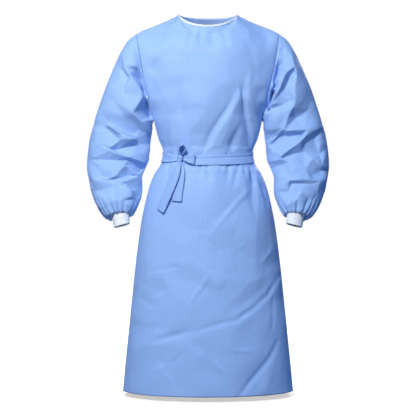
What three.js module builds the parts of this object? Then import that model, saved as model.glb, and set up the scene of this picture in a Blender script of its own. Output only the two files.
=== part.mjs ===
import * as THREE from "three";

// Surgical gown of thin nonwoven cloth, filled out to its worn shape with nobody in it, in millimetres.
// The front faces -Y and +Z is up. The origin lies between the shoulders, level with the sides of the neck.
// A drop is a distance below the origin, and a half is a distance from the middle plane X = 0.

// Driving dimensions.
const LENGTH = 1200;
const CLOTH = 1.2;
const KNIT = 1.6;
const TAPE = 1;
const STRAP = 1.6;
const SEAM_GAP = 0.4;
const LAY_GAP = 0.6;
const SHOULDER = { half: 227.7, drop: 61.4 };
const UNDERARM = { half: 173, drop: 339 };
const ARMHOLE = { front: 52, back: 55 };
const NECK = { half: 91.7, front: 70, back: 62, frontDrop: 44, backDrop: 4, fade: 80 };
const BINDING = { height: 6.5, above: 1, gap: 0.7, shoulderGap: 1.6 };
const OVERLAP_LIFT = 3.8;

// How the panels are divided.
const NECK_SHARE = 0.42;
const SHOULDER_ROUND = 105;
const SHOULDER_ARC = 0.72;
const FRONT_COLUMNS = { neck: 14, shoulder: 6 };
const PANEL_ROWS = { skirt: 17, bodice: 6, yoke: 10 };
const SLEEVE_GRID = { round: 40, along: 21 };
const CUFF_GRID = { round: 22, along: 4 };

// The body's sections from the hem up to the underarm: half width, and how far the front and back stand out.
const BODY_SECTIONS = [
  { drop: 1200, half: 272, front: 150, back: 150 },
  { drop: 1104, half: 263, front: 148, back: 148 },
  { drop: 950, half: 247, front: 144, back: 143 },
  { drop: 797, half: 231, front: 139, back: 138 },
  { drop: 675, half: 215, front: 134, back: 132 },
  { drop: 598, half: 200, front: 129, back: 127 },
  { drop: 541, half: 184.5, front: 122, back: 119 },
  { drop: 502, half: 167, front: 112, back: 107 },
  { drop: 480, half: 152, front: 103, back: 95 },
  { drop: 455, half: 143, front: 98, back: 88 },
  { drop: 428, half: 145.5, front: 100, back: 90 },
  { drop: 400, half: 157, front: 107, back: 96 },
  { drop: 368, half: 166, front: 113, back: 101 },
  { drop: 339, half: 173, front: 117, back: 104 },
];

// The yoke, from the underarm up to the shoulder, by the share of that rise.
const YOKE_SECTIONS = [
  { rise: 0, front: 117, back: 104 },
  { rise: 0.3, front: 120, back: 107 },
  { rise: 0.6, front: 116, back: 108 },
  { rise: 1, front: 98, back: 98 },
];

// The armhole seam seen from the front, and the shoulder line.
const ARMHOLE_LINE = [
  { drop: 61.4, half: 227.7 },
  { drop: 122, half: 218 },
  { drop: 184, half: 206.5 },
  { drop: 225, half: 197.5 },
  { drop: 277, half: 186.5 },
  { drop: 322, half: 175.5 },
  { drop: 339, half: 173 },
];
const SHOULDER_LINE = [
  { half: 91.7, drop: 0 },
  { half: 112, drop: 10.5 },
  { half: 135, drop: 21.5 },
  { half: 174, drop: 37.5 },
  { half: 209, drop: 51 },
  { half: 227.7, drop: 61.4 },
];

// The sleeve's oval sections from the armhole to the gathers over the cuff. Each passes through an outer and an
// inner point, stands out to front and back of its middle y, and its front is raised.
const SLEEVE_SECTIONS = [
  { at: 0, outHalf: 227.7, outDrop: 61.4, inHalf: 173, inDrop: 339, front: 52, back: 55, y: 0, raise: 0 },
  { at: 0.06, outHalf: 257, outDrop: 88, inHalf: 176, inDrop: 344, front: 66, back: 62, y: 0, raise: 0 },
  { at: 0.15, outHalf: 290, outDrop: 145, inHalf: 178, inDrop: 354, front: 74, back: 66, y: 2, raise: 0 },
  { at: 0.24, outHalf: 317, outDrop: 207, inHalf: 178.5, inDrop: 371, front: 76, back: 66, y: 5, raise: 0 },
  { at: 0.33, outHalf: 341, outDrop: 272, inHalf: 181, inDrop: 392, front: 74, back: 66, y: 8, raise: 0 },
  { at: 0.41, outHalf: 360, outDrop: 330, inHalf: 185, inDrop: 415, front: 72, back: 66, y: 8, raise: 0 },
  { at: 0.49, outHalf: 376, outDrop: 388, inHalf: 186.5, inDrop: 440, front: 70, back: 66, y: 6, raise: 0 },
  { at: 0.57, outHalf: 385, outDrop: 442, inHalf: 189, inDrop: 464, front: 70, back: 66, y: 2, raise: 2 },
  { at: 0.64, outHalf: 386, outDrop: 484, inHalf: 199, inDrop: 488, front: 68, back: 66, y: -6, raise: 5 },
  { at: 0.71, outHalf: 380, outDrop: 522, inHalf: 209, inDrop: 516, front: 66, back: 64, y: -16, raise: 9 },
  { at: 0.78, outHalf: 371, outDrop: 560, inHalf: 208, inDrop: 548, front: 66, back: 62, y: -28, raise: 13 },
  { at: 0.85, outHalf: 359, outDrop: 593, inHalf: 211, inDrop: 582, front: 64, back: 60, y: -40, raise: 16 },
  { at: 0.9, outHalf: 345, outDrop: 620, inHalf: 221, inDrop: 611, front: 58, back: 55, y: -52, raise: 17 },
  { at: 0.945, outHalf: 328, outDrop: 643, inHalf: 233, inDrop: 633, front: 47, back: 45, y: -62, raise: 16 },
  { at: 0.97, outHalf: 315.5, outDrop: 649, inHalf: 241, inDrop: 638.5, front: 38, back: 36, y: -67, raise: 14 },
  { at: 1, outHalf: 305.5, outDrop: 635.5, inHalf: 245.5, inDrop: 627.5, front: 29, back: 28, y: -67, raise: 12 },
];

// The knit cuff, from its flared sewn edge down to its mouth.
const CUFF_SECTIONS = [
  { at: 0, outHalf: 305.5, outDrop: 639.5, inHalf: 246, inDrop: 631.5, front: 29, back: 28, y: -68, raise: 12 },
  { at: 0.16, outHalf: 301, outDrop: 646, inHalf: 248.5, inDrop: 637, front: 25, back: 24, y: -71, raise: 11 },
  { at: 0.5, outHalf: 298, outDrop: 657, inHalf: 248, inDrop: 647, front: 22.5, back: 21.5, y: -77, raise: 9.5 },
  { at: 1, outHalf: 292.5, outDrop: 678.5, inHalf: 245.5, inDrop: 666, front: 20, back: 19, y: -87, raise: 8 },
];

// Folds on the front, as seen from the front. Each crease runs from its first point to its last. Left and right
// are the widths of its flanks on either hand of that run, and out is its height where it peaks.
const FRONT_FOLDS = [
  { x: -14, drop: 446, toX: 90, toDrop: 262, left: 26, right: 34, out: -8, peak: 0.25 },
  { x: 114, drop: 222, toX: 142, toDrop: 430, left: 24, right: 34, out: -8, peak: 0.6 },
  { x: 70, drop: 440, toX: 108, toDrop: 336, left: 20, right: 24, out: -6, peak: 0.2 },
  { x: -100, drop: 236, toX: -60, toDrop: 410, left: 26, right: 26, out: -5, peak: 0.5 },
  { x: -124, drop: 300, toX: -138, toDrop: 432, left: 22, right: 22, out: -6, peak: 0.7 },
  { x: -192, drop: 192, toX: -146, toDrop: 152, left: 26, right: 32, out: -6, peak: 0.2 },
  { x: 176, drop: 236, toX: 144, toDrop: 300, left: 26, right: 30, out: -6, peak: 0.3 },
  { x: 134, drop: 490, toX: 150, toDrop: 670, left: 20, right: 26, out: -9, peak: 0.25 },
  { x: 150, drop: 560, toX: 146, toDrop: 900, left: 42, right: 60, out: 6, peak: 0.4 },
  { x: -184, drop: 640, toX: -190, toDrop: 900, left: 60, right: 50, out: 4, peak: 0.5 },
  { x: 228, drop: 826, toX: 20, toDrop: 976, left: 36, right: 40, out: -5, peak: 0.35 },
  { x: 214, drop: 1056, toX: 90, toDrop: 1200, left: 40, right: 46, out: -5, peak: 0.6 },
  { x: -10, drop: 960, toX: -140, toDrop: 1040, left: 40, right: 40, out: -4, peak: 0.5 },
];

// Folds on the back. The cloth hangs from the shoulders and is drawn in by the belt.
const BACK_FOLDS = [
  { x: -96, drop: 434, toX: -150, toDrop: 262, left: 30, right: 34, out: -8, peak: 0.3 },
  { x: -30, drop: 436, toX: -44, toDrop: 250, left: 26, right: 30, out: -6, peak: 0.25 },
  { x: 100, drop: 434, toX: 150, toDrop: 250, left: 30, right: 34, out: -8, peak: 0.3 },
  { x: -110, drop: 492, toX: -140, toDrop: 760, left: 34, right: 30, out: -9, peak: 0.2 },
  { x: 112, drop: 492, toX: 140, toDrop: 780, left: 30, right: 36, out: -9, peak: 0.2 },
  { x: -36, drop: 492, toX: -60, toDrop: 700, left: 28, right: 28, out: -6, peak: 0.2 },
  { x: 190, drop: 860, toX: 60, toDrop: 1010, left: 40, right: 44, out: -5, peak: 0.5 },
  { x: -206, drop: 980, toX: -90, toDrop: 1150, left: 44, right: 44, out: -5, peak: 0.5 },
];

// Folds on the front of each sleeve, with x measured outwards. The sleeves crumple differently.
const RIGHT_SLEEVE_FOLDS = [
  { x: 288, drop: 160, toX: 196, toDrop: 266, left: 26, right: 56, out: 8, peak: 0.7 },
  { x: 232, drop: 176, toX: 186, toDrop: 318, left: 10, right: 38, out: -17, peak: 0.75 },
  { x: 330, drop: 340, toX: 216, toDrop: 402, left: 30, right: 34, out: -11, peak: 0.6 },
  { x: 318, drop: 430, toX: 216, toDrop: 414, left: 30, right: 26, out: -12, peak: 0.7 },
  { x: 386, drop: 464, toX: 248, toDrop: 460, left: 28, right: 30, out: -9, peak: 0.45 },
  { x: 262, drop: 478, toX: 200, toDrop: 498, left: 26, right: 26, out: -14, peak: 0.9 },
  { x: 308, drop: 524, toX: 220, toDrop: 514, left: 30, right: 22, out: -10, peak: 0.7 },
  { x: 268, drop: 534, toX: 204, toDrop: 546, left: 24, right: 30, out: -13, peak: 0.9 },
  { x: 372, drop: 560, toX: 266, toDrop: 548, left: 26, right: 24, out: -8, peak: 0.4 },
];
const LEFT_SLEEVE_FOLDS = [
  { x: 216, drop: 176, toX: 178, toDrop: 322, left: 8, right: 34, out: -17, peak: 0.7 },
  { x: 280, drop: 166, toX: 222, toDrop: 262, left: 22, right: 26, out: -9, peak: 0.4 },
  { x: 282, drop: 168, toX: 276, toDrop: 300, left: 34, right: 30, out: 7, peak: 0.5 },
  { x: 338, drop: 268, toX: 246, toDrop: 368, left: 30, right: 34, out: -11, peak: 0.5 },
  { x: 312, drop: 368, toX: 192, toDrop: 412, left: 30, right: 26, out: -13, peak: 0.65 },
  { x: 236, drop: 456, toX: 370, toDrop: 428, left: 34, right: 26, out: -12, peak: 0.5 },
  { x: 246, drop: 474, toX: 194, toDrop: 486, left: 26, right: 26, out: -13, peak: 0.9 },
  { x: 388, drop: 488, toX: 326, toDrop: 518, left: 34, right: 24, out: -8, peak: 0.4 },
  { x: 256, drop: 542, toX: 334, toDrop: 532, left: 24, right: 26, out: -9, peak: 0.6 },
];

// The sleeve's gathers over the cuff.
const GATHERS = { count: 10, out: 4.5, from: 0.8, seam: 0.9 };

// The belt's middle line and width by its place round the body: 0 is the front's middle, 1 the side at the wearer's
// left, 2 the back's middle and 3 the other side. It starts and ends at the knot.
const BELT = [
  { round: -0.35, drop: 465, wide: 17 },
  { round: -0.3, drop: 467, wide: 25 },
  { round: -0.22, drop: 468.5, wide: 31 },
  { round: 0, drop: 468.5, wide: 32 },
  { round: 0.5, drop: 464, wide: 32 },
  { round: 1, drop: 455.5, wide: 32 },
  { round: 2, drop: 459, wide: 32 },
  { round: 3, drop: 455.5, wide: 32 },
  { round: 3.3, drop: 458, wide: 30 },
  { round: 3.45, drop: 460.5, wide: 24 },
  { round: 3.545, drop: 463, wide: 17 },
];

// The knot's middle and half sizes. Out is how far in front of the body it lies.
const KNOT = { x: -86, out: 10.5, drop: 463, halfX: 7.6, halfY: 7.5, halfDrop: 11 };

// The loops and ends of the belt, by their middle lines. Out is how far in front of the body a row lies. Lean turns
// the band's width from level, in degrees, and cup is how far its middle bows out of the band.
const LOOP_UP = [
  { x: -86, out: 13, drop: 450.8, wide: 11, lean: 0, cup: 0.5 },
  { x: -85.5, out: 18, drop: 447, wide: 16, lean: 0, cup: 1 },
  { x: -85, out: 22, drop: 440.5, wide: 24, lean: 3, cup: 2 },
  { x: -84, out: 24.5, drop: 430, wide: 35, lean: 6, cup: 2 },
  { x: -82.5, out: 21.5, drop: 421, wide: 38, lean: 8, cup: 1 },
  { x: -82, out: 15.5, drop: 417.5, wide: 38, lean: 8, cup: 1 },
  { x: -82.5, out: 9.5, drop: 420, wide: 37, lean: 8, cup: 1 },
  { x: -83, out: 6.5, drop: 428, wide: 33, lean: 6, cup: 1 },
  { x: -84.5, out: 6.5, drop: 439, wide: 23, lean: 3, cup: 1 },
  { x: -85.8, out: 8.8, drop: 450.9, wide: 11, lean: 0, cup: 0 },
];
const LOOP_SIDE = [
  { x: -76.6, out: 13.5, drop: 463.5, wide: 10, lean: 90, cup: 1 },
  { x: -68, out: 15.5, drop: 464.5, wide: 17, lean: 90, cup: 2 },
  { x: -57, out: 16, drop: 465.5, wide: 24, lean: 92, cup: 2.5 },
  { x: -47, out: 15.5, drop: 466, wide: 28, lean: 94, cup: 2 },
  { x: -42.5, out: 13, drop: 466, wide: 29, lean: 95, cup: 1 },
  { x: -41.5, out: 10, drop: 466, wide: 29, lean: 95, cup: 0 },
  { x: -45, out: 8, drop: 466, wide: 28, lean: 94, cup: 0 },
  { x: -56, out: 7.5, drop: 465.5, wide: 23, lean: 92, cup: 0 },
  { x: -68, out: 7.5, drop: 464.5, wide: 16, lean: 90, cup: 0 },
  { x: -76.2, out: 8.5, drop: 463.5, wide: 10, lean: 90, cup: 0 },
];
const END_LONG = [
  { x: -87.2, out: 12, drop: 473.9, wide: 11, lean: -5, cup: 0.5 },
  { x: -92.5, out: 16, drop: 485, wide: 20, lean: -12, cup: 2.5 },
  { x: -100, out: 17, drop: 508, wide: 31, lean: -17, cup: 2.5 },
  { x: -112, out: 15.5, drop: 541, wide: 32, lean: -21, cup: 1.5 },
  { x: -126, out: 13, drop: 574, wide: 32, lean: -23, cup: 1.5 },
  { x: -139, out: 11, drop: 603, wide: 32, lean: -24, cup: 2 },
  { x: -149.5, out: 10, drop: 626.5, wide: 32, lean: -38, cup: 1.5 },
];
const END_SHORT = [
  { x: -85, out: 8.6, drop: 474.5, wide: 10, lean: 0, cup: 0 },
  { x: -85.5, out: 7, drop: 488, wide: 20, lean: -1, cup: 2 },
  { x: -87, out: 7, drop: 512, wide: 31, lean: -3, cup: 1.5 },
  { x: -91, out: 6.5, drop: 545, wide: 32, lean: -6, cup: 1 },
  { x: -94.5, out: 6, drop: 572, wide: 32, lean: -7, cup: 1 },
  { x: -97, out: 6, drop: 597, wide: 32, lean: -7, cup: 0 },
];

// The tab that closes the back of the neck, by its sides.
const TAB = { from: 0, to: 0.36, top: 16, bottom: 42, gap: 1.1 };

const mix = THREE.MathUtils.lerp;
const soft = THREE.MathUtils.smoothstep;
const vector = (x, y, z) => new THREE.Vector3(x, y, z);
const QUARTER = Math.PI / 2;

// A smooth curve through the rows of a table, for each of its columns.
function through(rows, by) {
  const sorted = [...rows].sort((a, b) => a[by] - b[by]);
  const last = sorted.length - 1;
  return (place) => {
    const at = THREE.MathUtils.clamp(place, sorted[0][by], sorted[last][by]);
    let i = 0;
    while (i < last - 1 && sorted[i + 1][by] < at) i += 1;
    const [before, low] = [sorted[Math.max(i - 1, 0)], sorted[i]];
    const [high, after] = [sorted[i + 1], sorted[Math.min(i + 2, last)]];
    const step = high[by] - low[by];
    const t = (at - low[by]) / step;
    const found = {};
    for (const column of Object.keys(low)) {
      const slopeLow = ((high[column] - before[column]) / (high[by] - before[by])) * step;
      const slopeHigh = ((after[column] - low[column]) / (after[by] - low[by])) * step;
      found[column] =
        low[column] * (2 * t ** 3 - 3 * t ** 2 + 1) +
        slopeLow * (t ** 3 - 2 * t ** 2 + t) +
        high[column] * (3 * t ** 2 - 2 * t ** 3) +
        slopeHigh * (t ** 3 - t ** 2);
    }
    return found;
  };
}

const bodySection = through(BODY_SECTIONS, "drop");
const yokeSection = through(YOKE_SECTIONS, "rise");
const armholeLine = through(ARMHOLE_LINE, "drop");
const shoulderLine = through(SHOULDER_LINE, "half");
const sleeveSection = through(SLEEVE_SECTIONS, "at");
const cuffSection = through(CUFF_SECTIONS, "at");

// The summed height of a table's folds at a point of the front view. A crease is sharp along its line, and each
// flank falls away over its width.
function foldsAt(folds, x, drop) {
  let out = 0;
  for (const fold of folds) {
    const runX = fold.toX - fold.x;
    const runDrop = fold.toDrop - fold.drop;
    const length = Math.hypot(runX, runDrop);
    const along = ((x - fold.x) * runX + (drop - fold.drop) * runDrop) / length ** 2;
    const beside = ((x - fold.x) * runDrop - (drop - fold.drop) * runX) / length;
    const swell = along < fold.peak ? along / fold.peak : (1 - along) / (1 - fold.peak);
    if (swell <= 0) continue;
    const width = (beside > 0 ? fold.left : fold.right) * (0.4 + 0.6 * swell);
    const near = 1 - Math.abs(beside) / width;
    if (near > 0) out += fold.out * swell * near ** 1.5;
  }
  return out;
}

// A panel's top edge from the front: the neckline in the middle, and the shoulder seam on each side.
function topEdge(across, front) {
  const size = Math.abs(across);
  const hand = Math.sign(across);
  if (size <= NECK_SHARE) {
    const turn = (size / NECK_SHARE) * QUARTER;
    const dip = front ? NECK.frontDrop : NECK.backDrop;
    return { x: hand * NECK.half * Math.sin(turn), drop: dip * Math.cos(turn) ** 1.3 };
  }
  const half = mix(NECK.half, SHOULDER.half, (size - NECK_SHARE) / (1 - NECK_SHARE));
  return { x: hand * half, drop: shoulderLine(half).drop };
}

// A point of the body without folds. Across runs from -1 to 1 between the side seams, and level from -1 at the hem
// through 0 at the underarm to 1 at the neck and shoulders.
function bodyPoint(across, level, front) {
  const facing = front ? -1 : 1;
  const depthOf = (section) => (front ? section.front : section.back);
  const seam = SEAM_GAP / 2;
  if (level <= 0) {
    const drop = mix(UNDERARM.drop, LENGTH, -level);
    const section = bodySection(drop);
    const y = depthOf(section) * Math.cos(across * QUARTER) + seam;
    return vector(section.half * Math.sin(across * QUARTER), facing * y, -drop);
  }
  const most = mix(1, SHOULDER_ARC, soft(level, 0, 0.5)) * QUARTER;
  const edge = armholeLine(mix(UNDERARM.drop, SHOULDER.drop, level)).half;
  const top = topEdge(across, front);
  const shoulderMost = SHOULDER_ARC * QUARTER;
  const shoulderX = (SHOULDER.half * Math.sin(across * shoulderMost)) / Math.sin(shoulderMost);
  const swept = (edge * Math.sin(across * most)) / Math.sin(most);
  const x = swept + soft(level, 0, 1) * (top.x - shoulderX);
  const drop = mix(UNDERARM.drop, top.drop, level);
  const below = Math.min(1, (drop - top.drop) / SHOULDER_ROUND);
  const round = Math.sin(below * QUARTER) ** 0.9;
  const angle = Math.asin(THREE.MathUtils.clamp((x * Math.sin(most)) / edge, -1, 1));
  const bulge = Math.max(0, (Math.cos(angle) - Math.cos(most)) / (1 - Math.cos(most)));
  const edgeDepth = (front ? ARMHOLE.front : ARMHOLE.back) * 2 * Math.sqrt(level * (1 - level));
  const nearNeck = Math.max(0, 1 - (x / (NECK.half + NECK.fade * below)) ** 2) ** (0.5 + 1.5 * below);
  const rim = (front ? NECK.front : NECK.back) * nearNeck;
  const kept = soft(Math.abs(across), 0.75, 1);
  const ring = (depthOf(yokeSection(level)) - edgeDepth) * bulge;
  const y = rim * (1 - round) + ring * round + edgeDepth * mix(round, 1, kept) + seam;
  return vector(x, facing * y, -drop);
}

// The way that a surface faces at a point, from two points beside it and two above and below it.
function facingOf(pointAt, u, v, flip) {
  const step = 0.004;
  const beside = pointAt(u + step, v).sub(pointAt(u - step, v));
  const above = pointAt(u, Math.min(v + step, 1)).sub(pointAt(u, v - step));
  return beside.cross(above).normalize().multiplyScalar(flip);
}

function bodyFacing(across, level, front) {
  const normal = facingOf((u, v) => bodyPoint(u, v, front), across, level, front ? 1 : -1);
  const onShoulderSeam = level === 1 && Math.abs(across) >= NECK_SHARE - 1e-6;
  if (onShoulderSeam) normal.setY(0).normalize();
  return normal;
}

// A point of the body moved out by a distance.
const bodyOut = (across, level, front, out) =>
  bodyPoint(across, level, front).addScaledVector(bodyFacing(across, level, front), out);

// Where each back panel ends. The left one of the wearer lies inside and the right one outside.
const innerEdge = (level) => (level > 0 ? mix(-0.25, -0.117, level) : mix(-0.25, -0.27, -level));
const outerEdge = (level) => (level > 0 ? mix(0.28, 0.17, level) : mix(0.28, 0.3, -level));

// How far the outer back panel stands off the body's surface, so that it clears the inner one.
const overlapLift = (across, level) => {
  const start = innerEdge(level) - 0.3;
  return OVERLAP_LIFT * soft(across, start, start + 0.24);
};

// Folds die away at a panel's seams, so that neighbours meet, and only troughs run under the belt.
function panelFold(across, level, front) {
  const at = bodyPoint(across, level, front);
  const out = foldsAt(front ? FRONT_FOLDS : BACK_FOLDS, at.x, -at.z);
  const fromSide = soft(1 - Math.abs(across), 0, 0.16);
  const fromTop = soft(1 - level, 0, 0.14);
  const belted = -at.z > 430 && -at.z < 495;
  return (belted ? Math.min(out, 0) : out) * fromSide * fromTop;
}

// A closed solid between two grids of points, rows by columns. Round ones join their last column to the first.
function wallGeometry(outer, inner, round) {
  const rows = outer.length;
  const columns = outer[0].length;
  const points = [...outer.flat(), ...inner.flat()];
  const index = [];
  const at = (layer, row, column) => (layer * rows + row) * columns + (column % columns);
  const quad = (a, b, c, d) => {
    const short = points[a].distanceTo(points[c]) <= points[b].distanceTo(points[d]);
    index.push(...(short ? [a, b, c, a, c, d] : [a, b, d, b, c, d]));
  };
  const across = round ? columns : columns - 1;
  for (let row = 0; row < rows - 1; row += 1) {
    for (let column = 0; column < across; column += 1) {
      quad(at(0, row, column), at(0, row, column + 1), at(0, row + 1, column + 1), at(0, row + 1, column));
      quad(at(1, row, column), at(1, row + 1, column), at(1, row + 1, column + 1), at(1, row, column + 1));
    }
  }
  for (let column = 0; column < across; column += 1) {
    quad(at(0, 0, column + 1), at(0, 0, column), at(1, 0, column), at(1, 0, column + 1));
    const row = rows - 1;
    quad(at(0, row, column), at(0, row, column + 1), at(1, row, column + 1), at(1, row, column));
  }
  for (let row = 0; row < rows - 1 && !round; row += 1) {
    quad(at(0, row, 0), at(0, row + 1, 0), at(1, row + 1, 0), at(1, row, 0));
    const column = columns - 1;
    quad(at(0, row + 1, column), at(0, row, column), at(1, row, column), at(1, row + 1, column));
  }
  return closedGeometry(points, index);
}

// Turns the faces outwards if they point in.
function closedGeometry(points, index) {
  let volume = 0;
  for (let i = 0; i < index.length; i += 3) {
    const [a, b, c] = [points[index[i]], points[index[i + 1]], points[index[i + 2]]];
    volume += a.dot(b.clone().cross(c));
  }
  const geometry = new THREE.BufferGeometry().setFromPoints(points);
  geometry.setIndex(volume < 0 ? index.reverse() : index);
  geometry.computeVertexNormals();
  return geometry;
}

const gown = new THREE.Group();
const cloth = new THREE.MeshStandardMaterial({ color: 0x7fa6ea, roughness: 0.82, metalness: 0 });
const strapCloth = new THREE.MeshStandardMaterial({ color: 0x7da4e6, roughness: 0.82, metalness: 0 });
const knit = new THREE.MeshStandardMaterial({ color: 0xeceffa, roughness: 0.95, metalness: 0 });
const tape = new THREE.MeshStandardMaterial({ color: 0xe3ebfb, roughness: 0.9, metalness: 0 });

function addPiece(name, geometry, material) {
  const mesh = new THREE.Mesh(geometry, material);
  mesh.name = name;
  gown.add(mesh);
  return mesh;
}

const spread = (count, from, to) => Array.from({ length: count + 1 }, (_, i) => mix(from, to, i / count));

// Rows are closer together round the waist and at the shoulders.
const waistLevel = -(480 - UNDERARM.drop) / (LENGTH - UNDERARM.drop);
const PANEL_LEVELS = [
  ...spread(PANEL_ROWS.skirt, -1, waistLevel),
  ...spread(PANEL_ROWS.bodice, waistLevel, 0).slice(1),
  ...spread(PANEL_ROWS.yoke, 0, Math.PI)
    .slice(1)
    .map((angle) => (1 - Math.cos(angle)) / 2),
];

// A panel of the body between the columns that each level has, kept as its grid of outer points as well.
function bodyPanel(name, columnsAt, front, lift) {
  const grid = (depth) =>
    PANEL_LEVELS.map((level) =>
      columnsAt(level).map((across) => {
        const out = panelFold(across, level, front) + lift(across, level) - depth;
        return bodyOut(across, level, front, out);
      }),
    );
  const outer = grid(0);
  const mesh = addPiece(name, wallGeometry(outer, grid(CLOTH), false), cloth);
  return { mesh, outer, columnsAt, front };
}

const frontColumns = [
  ...spread(FRONT_COLUMNS.shoulder, -1, -NECK_SHARE),
  ...spread(FRONT_COLUMNS.neck, -NECK_SHARE, NECK_SHARE).slice(1),
  ...spread(FRONT_COLUMNS.shoulder, NECK_SHARE, 1).slice(1),
];

// The backs keep a column on the neck point. The rest of their columns reach to the free edge.
const innerColumns = (level) => [
  ...spread(7, innerEdge(level), NECK_SHARE),
  ...spread(FRONT_COLUMNS.shoulder, NECK_SHARE, 1).slice(1),
];
const outerColumns = (level) => [
  ...spread(FRONT_COLUMNS.shoulder, -1, -NECK_SHARE),
  ...spread(8, -NECK_SHARE, outerEdge(level)).slice(1),
];

// A point on a panel as built, moved out by a distance. Whatever lies on a panel is made from these.
function onPanel(panel, across, drop, out) {
  const level = (UNDERARM.drop - drop) / (LENGTH - UNDERARM.drop);
  const rise = (UNDERARM.drop - drop) / (UNDERARM.drop - topEdge(across, panel.front).drop);
  const place = level > 0 ? rise : level;
  const row = PANEL_LEVELS.findIndex((next) => next >= place) - 1;
  const up = (place - PANEL_LEVELS[row]) / (PANEL_LEVELS[row + 1] - PANEL_LEVELS[row]);
  const columns = panel.columnsAt(PANEL_LEVELS[row]);
  const found = columns.findIndex((next) => next >= across - 1e-9);
  const column = Math.max(found === -1 ? columns.length - 1 : found, 1) - 1;
  const beside = (across - columns[column]) / (columns[column + 1] - columns[column]);
  const low = panel.outer[row][column].clone().lerp(panel.outer[row][column + 1], beside);
  const high = panel.outer[row + 1][column].clone().lerp(panel.outer[row + 1][column + 1], beside);
  return low.lerp(high, up).addScaledVector(bodyFacing(across, place, panel.front), out);
}

// A point of an oval section. Turn 0 is its outer point, a quarter its front, a half its inner point.
function ovalPoint(section, turn, hand) {
  const [cos, sin] = [Math.cos(turn * 2 * Math.PI), Math.sin(turn * 2 * Math.PI)];
  const half = (section.outHalf + section.inHalf + (section.outHalf - section.inHalf) * cos) / 2;
  const drop = (section.outDrop + section.inDrop + (section.outDrop - section.inDrop) * cos) / 2;
  const y = section.y - (sin > 0 ? section.front : section.back) * sin;
  return vector(hand * half, y, -(drop - section.raise * sin));
}

// A point of a sleeve without folds. Its first section is the armhole, with a seam's gap.
function sleevePoint(turn, along, hand) {
  const point = ovalPoint(sleeveSection(along), turn, hand);
  const nearArmhole = Math.max(0, 1 - along / 0.1);
  const straight = mix(SHOULDER.half, UNDERARM.half, (-point.z - SHOULDER.drop) / (UNDERARM.drop - SHOULDER.drop));
  const bow = nearArmhole > 0 ? armholeLine(-point.z).half - straight : 0;
  point.x += hand * (bow * nearArmhole + SEAM_GAP);
  return point;
}

// Gathers are uneven: their middles are shifted round the sleeve.
function gatherTurn(share, along) {
  const shift = 0.012 * Math.sin(share * 4 * Math.PI + 1) + 0.008 * Math.sin(share * 10 * Math.PI);
  return share + shift * soft(along, 0.4, 0.8);
}

function sleeveFold(share, along, hand, folds, backFolds) {
  const turn = gatherTurn(share, along);
  const at = sleevePoint(turn, along, hand);
  const frontShare = soft(Math.sin(turn * 2 * Math.PI), -0.3, 0.3);
  const seen = foldsAt(folds, Math.abs(at.x), -at.z);
  const hidden = foldsAt(backFolds, Math.abs(at.x), -at.z + 14);
  const fade = soft(along, 0, 0.05) * (1 - soft(along, 0.86, 0.95));
  const rise = soft(along, GATHERS.from, 0.93) * (1 - soft(along, 0.94, 1));
  const wave = Math.cos(share * GATHERS.count * 2 * Math.PI);
  const gather = wave * (GATHERS.out * rise + GATHERS.seam * soft(along, 0.93, 1));
  return mix(hidden, seen, frontShare) * fade + gather;
}

function addSleeve(name, hand, folds, backFolds) {
  const shares = spread(SLEEVE_GRID.round, 0, 1).slice(0, -1);
  const steps = spread(SLEEVE_GRID.along, 0, 1).map((step) => step ** 0.85);
  const ring = (along, depth) =>
    shares.map((share) => {
      const turn = gatherTurn(share, along);
      const facing = facingOf((u, v) => sleevePoint(u, Math.max(v, 0), hand), turn, along, -hand);
      if (along === 0) facing.setX(hand * Math.max(0.2, hand * facing.x)).normalize();
      const out = sleeveFold(share, along, hand, folds, backFolds) + depth;
      return sleevePoint(turn, along, hand).addScaledVector(facing, out);
    });
  const grid = (depth) => steps.map((along) => ring(along, depth));
  const [outer, inner] = [grid(CLOTH), grid(0)];
  for (const [armhole] of [outer, inner]) {
    for (let i = 1; i < armhole.length; i += 2) {
      armhole[i].copy(armhole[i - 1]).lerp(armhole[(i + 1) % armhole.length], 0.5);
    }
  }
  addPiece(name, wallGeometry(outer, inner, true), cloth);
}

function addCuff(name, hand) {
  const shares = spread(CUFF_GRID.round, 0, 1).slice(0, -1);
  const steps = spread(CUFF_GRID.along, 0, 1).map((step) => step ** 1.5);
  const grid = (depth) =>
    steps.map((along) =>
      shares.map((turn) => {
        const pointAt = (u, v) => ovalPoint(cuffSection(v), u, hand);
        const facing = facingOf(pointAt, turn, Math.max(along, 0.01), -hand);
        return pointAt(turn, along).addScaledVector(facing, -depth);
      }),
    );
  addPiece(name, wallGeometry(grid(0), grid(KNIT), true), knit);
}

// A panel's neck edge at a place across it, and the way that it faces there.
function neckEdge(panel, across) {
  const edge = panel.outer[panel.outer.length - 1];
  const columns = panel.columnsAt(1);
  const next = Math.max(columns.findIndex((column) => column >= across - 1e-9), 1);
  const beside = (across - columns[next - 1]) / (columns[next] - columns[next - 1]);
  const top = edge[next - 1].clone().lerp(edge[next], beside);
  return { panel, top, facing: bodyFacing(across, 1, panel.front) };
}

// The place on the built panels straight under a point that faces a given way.
function settle(point, facing, panelsUnder) {
  const from = point.clone().addScaledVector(facing, 10);
  const caster = new THREE.Raycaster(from, facing.clone().negate(), 0, 20);
  const [hit] = caster.intersectObjects(panelsUnder.map((panel) => panel.mesh));
  return hit ? hit.point : point;
}

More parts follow.
